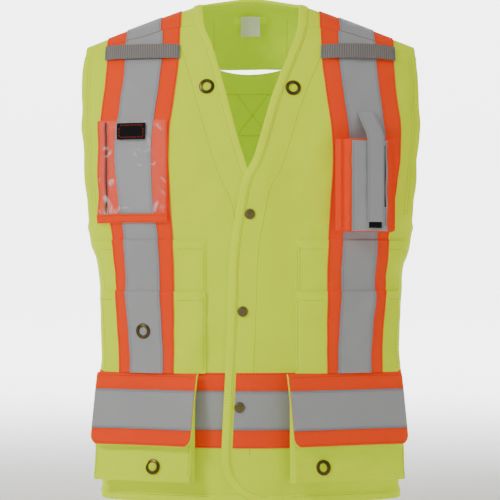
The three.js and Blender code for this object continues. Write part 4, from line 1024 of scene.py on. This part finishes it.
def cargo_pocket(side, hand, body):
    """The bellows bag: plan is its outline seen from above, and down is how it fills from mouth to foot."""
    inner, outer, _ = CARGO[side]
    a, b = facet_run(inner), facet_run(outer)
    low, mouth = CARGO_LOW, CARGO_MOUTH
    plan = profile([(a + 1, 0.07), (a - 0.4, 0.35), (a + 3.4, 0.55), (a - 0.6, 0.8), (a + 0.5, 1.02),
                    (a + 9, 1.0), (mix(a, b, 0.5), 1.06), (b - 9, 1.0), (b - 0.5, 1.02), (b + 0.6, 0.8),
                    (b - 3.4, 0.55), (b + 0.4, 0.35), (b - 1, 0.07)], 110)
    down = profile([(1, mouth), (1, mouth - 12), (1.0, 90), (1.04, 60), (1.02, low + 8), (0.99, low),
                    (0.8, low - 0.3), (0.3, low + 0.3), (0.08, low + 0.6)], 64)
    fill, z = down[:, 0][:, None], down[:, 1][:, None]
    u, share = plan[:, 0][None, :], plan[:, 1][None, :]
    sag = 1.2 * np.sin(u / 17 + z / 31) * np.exp(-((z - 60) / 40) ** 2)
    sag = sag + ripples(u, z, 21 if side > 0 else 22, height=0.4)
    out = np.minimum(share * fill, share) * cargo_depth(np.clip(z, low, mouth))
    out = out + sag * (share > 0.9) * (fill > 0.95) * smooth((z - low) / 12)
    grid = facet_point(side, u, np.maximum(out, 4.4 * (share < 0.4) + 0.2), z)
    cut(f"cargo_cloth_{hand}", grid[::-1], BAG_CLOTH, "lime", body, f"cargo_pocket_{hand}")
    zs = np.linspace(low + 8, mouth - 6, 22)
    normal = np.tile(facet_tilt(side, 1.0, 0.0), (22, 1))
    for edge in (a + 3.5, b - 3.5):
        stitch((body, "lime_thread"), facet_point(side, edge, cargo_depth(zs) + 0.7, zs), normal)


def cargo_flap(side, hand):
    body = f"flap_{hand}"
    inner, outer, _ = CARGO[side]
    a, b = facet_run(inner) - 3, facet_run(outer) + 3
    drop = math.hypot(FLAP_DROP, FLAP_STAND)
    tilt = math.atan2(FLAP_STAND, FLAP_DROP)
    corner_turn = np.linspace(0.05, math.pi / 2, 12)
    down = np.concatenate([np.linspace(0, drop - FLAP_CORNER - 1, 18),
                           drop - FLAP_CORNER * (1 - np.sin(corner_turn))])
    into_corner = np.maximum(down - (drop - FLAP_CORNER), 0)
    pull = FLAP_CORNER - np.sqrt(np.maximum(FLAP_CORNER ** 2 - into_corner ** 2, 0))
    line = np.linspace(0, 1, 60)

    def place(share, d, inset, lift):
        """A point of the flap: share across it, d down from its sewn edge, lifted off its inner face."""
        pulled = np.interp(d, down, pull)
        u = mix(a + pulled + inset, b - pulled - inset, share)
        bow = 1.6 * np.sin(math.pi * share) * smooth(d / 40) + 0.5 * np.sin(u / 21 + d / 30) * smooth(d / 30)
        raised = lift * smooth((d + 0.5) / 6) + bow
        out = 4 + d * math.sin(tilt) + raised * math.cos(tilt)
        z = FLAP_TOP - d * math.cos(tilt) + raised * math.sin(tilt)
        return facet_point(side, u, out, z)

    def sheet(name, kind, rows, inset, lift, thick, *nodes):
        grid = place(*np.meshgrid(line, rows), inset, lift)
        cut(f"flap_{name}_{hand}", grid[::-1], thick, kind, body, *nodes)
    sheet("cloth", "lime_tape", down, 0, 2.0, 2.0, f"cargo_flap_{hand}")
    sheet("orange_tape", "orange", down[down <= drop - 0.6], 1.2, 2.9, TAPE, f"flap_orange_{hand}")
    low, high, _ = WAIST["silver"]
    top = (FLAP_TOP - high) * drop / FLAP_DROP
    bottom = min((FLAP_TOP - low) * drop / FLAP_DROP, drop - FLAP_CORNER)
    sheet("silver_tape", "silver", np.linspace(top, bottom, 14), 1.2, 3.8, TAPE, f"flap_silver_{hand}")
    normal = np.tile(facet_tilt(side, 1.0, 0.0), (60, 1))
    for d, lift, kind in ((top + SEAM_IN, 3.9, "silver"), (bottom - SEAM_IN, 3.9, "silver"),
                          (5, 3.0, "orange"), (drop - 4, 3.0, "orange")):
        stitch((body, THREAD[kind]), place(np.linspace(0.015, 0.985, 60), np.full(60, d), 1.2, lift), normal)
    for name, d in (("edge_high", top), ("edge_low", bottom)):
        sheet(name, "blue_edge", [d - EDGE_TAPE_HALF, d + EDGE_TAPE_HALF], 1.2, 3.95, EDGE_TAPE)


RADIO_CENTRE, RADIO_SEAT, RADIO_HALF = 150, 400, 42
RADIO_LOW, RADIO_TOP, RADIO_DEPTH = 362, 487, 28


def radio_frame():
    level = float(level_of(RADIO_CENTRE, RADIO_SEAT))
    theta = float(theta_at(RADIO_CENTRE, level))
    normal = outward(theta, level)
    normal[2] = 0
    normal = normal / np.linalg.norm(normal)
    across = np.cross([0, 0, 1], normal)
    origin = form(theta, level) * [1, 1, 0]
    return normal, across, origin


def radio_ripple(u, z, height=0.3):
    return ripples(u, z, 31, longest=60, height=height)


def radio_point(u, out, z):
    normal, across, origin = radio_frame()
    u, out, z = np.broadcast_arrays(u, out, z)
    return origin + u[..., None] * across + out[..., None] * normal + np.array([0, 0, 1]) * z[..., None]


def radio_pouch():
    body = "front_left"
    a, b = -RADIO_HALF, RADIO_HALF
    plan = profile([(a + 1, 0.30), (a - 0.3, 0.42), (a + 7, 0.62), (a + 1, 0.9), (a + 9, 0.72),
                    (a + 12, 0.98), (a + 18, 1.0), (0, 1.03), (b - 18, 1.0), (b - 12, 0.98), (b - 9, 0.72),
                    (b - 1, 0.9), (b - 7, 0.62), (b + 0.3, 0.42), (b - 1, 0.30)], 100)
    down = profile([(1, RADIO_TOP), (1, RADIO_TOP - 10), (1, 430), (1, RADIO_LOW + 8), (0.97, RADIO_LOW + 1),
                    (0.6, RADIO_LOW + 0.4), (0.3, RADIO_LOW + 1)], 50)
    fill, z = down[:, 0][:, None], down[:, 1][:, None]
    u, share = plan[:, 0][None, :], plan[:, 1][None, :]
    out = share * fill * RADIO_DEPTH + radio_ripple(u, z, 0.4) * (share > 0.9)
    grid = radio_point(u, np.maximum(out, 0.30 * RADIO_DEPTH * 0.9), z)
    cut("radio_cloth", grid[::-1], BAG_CLOTH, "orange", body, "radio_pouch")
    front = RADIO_DEPTH * 1.03
    face = front + 1.0
    u, z = np.meshgrid(np.linspace(-25.4, 25.4, 24), np.linspace(RADIO_LOW + 2, RADIO_TOP - 2, 40))
    grid = radio_point(u, front + 0.9 + radio_ripple(u, z), z)
    cut("radio_silver_tape", grid, TAPE, "silver", body, "radio_silver")
    normal, _, origin = radio_frame()
    z = np.linspace(RADIO_LOW + 4, RADIO_TOP - 4, 30)
    for seam in (-23.4, 23.4):
        u = np.full(30, seam)
        stitch((body, "grey_thread"), radio_point(u, face + radio_ripple(u, z), z), np.tile(normal, (30, 1)))
    u, z = np.meshgrid(np.linspace(-1, 17, 8), np.linspace(368, 384, 8))
    cut("radio_hook_patch", radio_point(u, face + 0.9, z), TAPE, "black", body, "radio_loop_patch")
    # A dark strip of painted shadow where the pen slot opens.
    u, z = np.meshgrid([20.3, 21.6, 22.6], np.linspace(396, 478, 20))
    cut("radio_pen_slot_shadow", radio_point(u, face + 0.2 + radio_ripple(u, z), z), 0.4, "dark", body)
    anchor = on_cloth(158.0, level_of(150.0, 526.0), 4.6)
    start = float((anchor - origin) @ normal)
    line = profile([(start, 526), (start + 6, 518), (face + 1.5, 494), (face + 3.4, 484), (face + 3.1, 430),
                    (face + 3.0, 376)], 60)
    out, z = line[:, 0:1], line[:, 1:2]
    share = np.linspace(-1, 1, 13)[None, :]
    grid = radio_point(8 + 12 * share, out + 0.25 * (1 - share ** 2), z)
    cut("radio_strap_tape", grid[::-1], 1.3, "silver", "radio_strap", "radio_strap")
    for u in (-2.0, 18.0):
        run = radio_point(np.full(60, u), line[:, 0] + 0.2, line[:, 1])
        stitch(("radio_strap", "grey_thread"), run, np.tile(normal, (60, 1)))


def id_pocket():
    body = "front_right"
    key = (body, "orange_thread")

    def panel(name, kind, x_span, z_span, offset, thick, nodes=(), columns=30, rows=40, bow=0.0):
        share, height = np.meshgrid(np.linspace(0, 1, columns), np.linspace(*z_span, rows))
        x = mix(*x_span, share)
        climb = (height - z_span[0]) / (z_span[1] - z_span[0])
        rise = offset + bow * np.sin(math.pi * share) * np.sin(math.pi * climb)
        grid = on_cloth(-x, level_of(x, height), rise + thick)
        cut(name, grid, thick, kind, body, *nodes, blends=True)

    def seam(start, end, lift, count):
        x, z = np.linspace(start[0], end[0], count), np.linspace(start[1], end[1], count)
        stitch_row(key, -x, level_of(x, z), lift)
    panel("id_vinyl", "vinyl", (113, 203), (384, 513), 4.4, 0.45, ["id_window"], bow=1.2)
    panel("id_orange_hem", "orange", (111, 205), (376, 388), 5.4, 0.6, ["id_bottom_band"], rows=8)
    panel("id_black_patch", "black", (140, 178), (487, 509), 6.4, 0.6, ["id_patch"], rows=10)
    panel("id_outer_edge", "orange", (196, 205), (386, 513), 3.7, 0.6, columns=6)
    panel("id_inner_edge", "orange", (111, 119), (386, 513), 3.7, 0.6, columns=6)
    panel("id_slot_shadow", "dark", (192.6, 194.4), (388, 510), 3.7, 0.4, columns=3)
    for z in (378.0, 386.0):
        seam((113, z), (203, z), 6.1, 20)
    for start, end in (((143, 490), (175, 490)), ((143, 506), (175, 506)), ((143, 490), (143, 506)),
                       ((175, 490), (175, 506))):
        seam(start, end, 7.1, 12)
    for x in (113.5, 202.5):
        seam((x, 388), (x, 511), 4.4, 30)


# ---- Metal ----
def lathe(name, section, matrix, kind, steps=40):
    """A turned piece: section is its [radius, height] outline, and matrix stands it on the cloth."""
    angles = np.linspace(0, 2 * math.pi, steps, endpoint=False)
    rings = []
    for radius, height in section:
        local = np.stack([radius * np.cos(angles), radius * np.sin(angles), np.full(steps, height)], -1)
        rings.append(local @ matrix[:3, :3].T + matrix[:3, 3])
    at = np.arange(len(section) * steps).reshape(len(section), steps)
    nxt = np.roll(at, -1, 1)
    after, after_nxt = np.roll(at, -1, 0), np.roll(nxt, -1, 0)
    faces = np.stack([at, nxt, after_nxt, after], -1).reshape(-1, 4)
    piece = make(name, np.concatenate(rings), faces, MAT[kind], sharp=50)
    outward_faces(piece)
    return piece


def standing(point, normal):
    up = np.array([0, 0, 1.0])
    across = np.cross(up, normal)
    across = across / np.linalg.norm(across)
    matrix = np.eye(4)
    matrix[:3, :3] = np.stack([across, np.cross(normal, across), normal], 1)
    matrix[:3, 3] = point
    return matrix


def at_spot(x, z, offset, lap=False):
    level = float(level_of(x, z))
    theta = float(theta_at(x, level))
    return standing(lay(theta, level, offset, lap), outward(theta, level))


def ring_profile(low, high):
    """An eyelet: a rolled lip round its hole, a shallow dish and a rounded rim."""
    hole, outer = 6.0, 10.5
    lip = [(hole + 0.9 + 0.9 * math.cos(a), high + 0.5 + 1.1 * math.sin(a))
           for a in np.linspace(math.pi, math.pi / 3, 7)]
    dish = [(hole + 2.6, high + 1.15), (hole + 3.2, high + 1.0)]
    rim = [(outer - 1.2 + 1.2 * math.cos(a), high + 0.1 + 1.0 * math.sin(a))
           for a in np.linspace(math.pi / 2, 0, 6)]
    under = [(outer, high - 0.4), (hole + 0.8, high - 0.4), (hole + 0.8, low)]
    return [(hole, low)] + lip + dish + rim + under


CAP_SOCKET = [(1.5, 5.2), (5.4, 5.2), (5.4, 3.6), (3.75, 3.6), (3.75, 4.5), (0.02, 4.5)]
STUD = [(0.02, -2.0), (5.4, -2.0), (5.5, -1.3), (1.5, -1.3), (1.5, 1.8), (4.7, 1.8), (4.8, 2.3), (2.1, 2.5),
        (2.1, 3.8), (1.7, 4.1), (0.02, 4.1)]


def eyelet(name, low, high, matrix, body, node, blends=False):
    settle(lathe(name, ring_profile(low, high), matrix, "bronze"), "bronze", body, node, blends=blends)


def metal():
    for side, hand in HANDS.items():
        matrix = at_spot(*NECK_EYELET[side], 0, lap=side > 0)
        body, node = f"front_{hand}", f"neck_eyelet_{hand}"
        eyelet(f"neck_ring_{hand}", -2.2, CLOTH + 0.6, matrix, body, node, blends=True)
    x, z = TAPE_EYELET
    top = carrier(np.array(float(z))) + 2.3
    eyelet("tape_ring", 5.2, top, at_spot(x, z, 0), "front_right", "tape_eyelet")
    slope = math.atan((CARGO_DEEP - CARGO_SHALLOW) / CARGO_SLOPE_RUN)
    out = mix(CARGO_DEEP, CARGO_SHALLOW, (CARGO_EYELET_HEIGHT - CARGO_SLOPE_LOW) / CARGO_SLOPE_RUN) + 0.9
    for side, hand in HANDS.items():
        point = facet_point(side, facet_run(CARGO[side][2]), out, float(CARGO_EYELET_HEIGHT))
        matrix = standing(point, facet_tilt(side, math.cos(slope), math.sin(slope)))
        eyelet(f"cargo_ring_{hand}", -2.6, 0.2, matrix, f"front_{hand}", f"cargo_eyelet_{hand}")
    for name, (x, z, seat) in SNAPS.items():
        matrix = at_spot(x, z, 0, lap=False)
        base = LAP_RISE + CLOTH + seat + 0.45
        dome = [(7 * math.sin(a), base + 0.9 + 1.7 * math.cos(a) ** 0.8)
                for a in np.linspace(0.02, math.pi / 2 - 0.02, 9)]
        cap = dome + [(7.1, base + 0.5), (6.8, base), (1.5, base)] + CAP_SOCKET
        piece = lathe(f"cap_{name}", cap, matrix, "bronze_cap")
        settle(piece, "bronze_cap", "front_left", f"snap_cap_{name}")
        settle(lathe(f"stud_{name}", STUD, matrix, "bronze"), "bronze", "front_right", f"snap_stud_{name}")


# ---- Build ----
yoke()
back()
cross_tapes()
neck_fittings()
for side, hand in HANDS.items():
    body = f"front_{hand}"
    front_panel(side, hand, body)
    side_strip(side, hand)
    brace(side, hand, body)
    waist(side, hand, body)
    tool_pocket(side, hand, body, "upper")
    tool_pocket(side, hand, body, "lower")
    mic_tab(side, hand, body)
    cargo_pocket(side, hand, body)
    cargo_flap(side, hand)
radio_pouch()
id_pocket()
metal()
for (body, thread), piece in sew(MAT).items():
    settle(piece, thread, body, blends=body.startswith("front_"))


# Each sheet that is sewn on, on both sides of the vest, and what carries it.
SEWN_ON = {
    "facing_cloth": "front_cloth",
    "brace_orange_tape": "front_cloth", "brace_silver_tape": "brace_orange_tape",
    "waist_orange_tape": "front_cloth", "waist_silver_tape": "waist_orange_tape",
    "tool_cloth_upper": "front_cloth", "tool_cloth_lower": "tool_cloth_upper",
    "flap_orange_tape": "flap_cloth", "flap_silver_tape": "flap_orange_tape",
    "back_x_silver_tape": "back_x_orange_tape", "side_orange_tape": "side_cloth",
    "side_silver_tape": "side_orange_tape", "mic_webbing": "brace_silver_tape",
}
for hand in HANDS.values():
    for name, carrier_name in SEWN_ON.items():
        declare(f"{name}_{hand}", f"{carrier_name}_{hand}")
    declare(f"side_cloth_{hand}", "back_cloth")
    declare(f"flap_cloth_{hand}", f"cargo_cloth_{hand}")
    declare(f"back_x_orange_tape_{hand}", "back_cloth")
declare("back_waist_orange_tape", "back_cloth")
declare("back_waist_silver_tape", "back_waist_orange_tape")
declare("radio_silver_tape", "radio_cloth")
declare("radio_strap_tape", "radio_silver_tape")
declare("id_vinyl", "front_cloth_right")
declare("blank_label", "yoke_cloth")


# ---- Studio ----
FLOOR, EYE_HEIGHT = -42, 338.4
# Each lamp's name, place in metres, size and power.
LAMPS = (("key", (-2.0, -1.9, 1.2), 0.9, 44), ("fill", (2.0, -2.4, 0.1), 1.8, 10),
         ("top", (0, -0.4, 2.2), 1.2, 10))


def add(name, data):
    piece = bpy.data.objects.new(name, data)
    bpy.context.scene.collection.objects.link(piece)
    return piece


def backdrop():
    """A pale floor that curves up into a wall, brighter with distance behind the vest: painted glow, which
    leaves a painted soft shadow on the floor near the vest.
    """
    floor_z = float(to_frame([0, 0, FLOOR])[2])
    bend = [(5 + 1.5 * math.sin(a), floor_z + 1.5 * (1 - math.cos(a)))
            for a in np.linspace(0.1, math.pi / 2, 14)]
    steps = [(y, floor_z) for y in (-7, 0.3, 2, 5)] + bend + [(6.5, 5)]
    points = [(x, y, z) for y, z in steps for x in (-8, 8)]
    faces = [(2 * k, 2 * k + 1, 2 * k + 3, 2 * k + 2) for k in range(len(steps) - 1)]
    mesh = bpy.data.meshes.new("backdrop")
    mesh.from_pydata(points, [], faces)
    mesh.shade_smooth()
    finish = Finish("backdrop")
    colour = finish.tint(finish.noise(2.0), (0.90, 0.90, 0.90), (0.93, 0.93, 0.93))
    finish.link(colour, finish.shader["Base Color"])
    # Painted light: the glow grows with distance behind the vest, so the floor near it stays darker like a
    # soft shadow.
    parts = finish.node("ShaderNodeSeparateXYZ")
    finish.link(finish.place, parts.inputs["Vector"])
    lit = finish.ranged(parts.outputs["Y"], 0.0, 3.4, start=0.2, end=3.0, interpolation_type="SMOOTHSTEP")
    finish.link(lit, finish.shader["Emission Strength"])
    finish.put(Emission_Color=(1, 1, 1, 1), Roughness=0.95, Specular_IOR_Level=0.1)
    mesh.materials.append(finish.material)
    add("backdrop", mesh)


def studio():
    backdrop()
    world = bpy.data.worlds.new("studio")
    bpy.context.scene.world = world
    world.use_nodes = True
    sky = world.node_tree.nodes["Background"].inputs
    sky["Color"].default_value = (1, 1, 1, 1)
    sky["Strength"].default_value = 0.42
    aim = Vector((0, 0, -0.34))
    for name, spot, size, power in LAMPS:
        light = bpy.data.lights.new(name, "AREA")
        light.shape, light.size, light.energy = "DISK", size, power
        lamp = add(name, light)
        lamp.location = spot
        lamp.rotation_mode = "QUATERNION"
        lamp.rotation_quaternion = (Vector(spot) - aim).to_track_quat("Z", "Y")
    lens = bpy.data.cameras.new("camera")
    lens.sensor_width, lens.lens = 36, 157.7
    camera = add("camera", lens)
    camera.location = (-0.0007, -3.06, (EYE_HEIGHT - ORIGIN_HEIGHT) / 1000)
    camera.rotation_euler = (math.pi / 2, 0, 0)
    bpy.context.scene.camera = camera


studio()
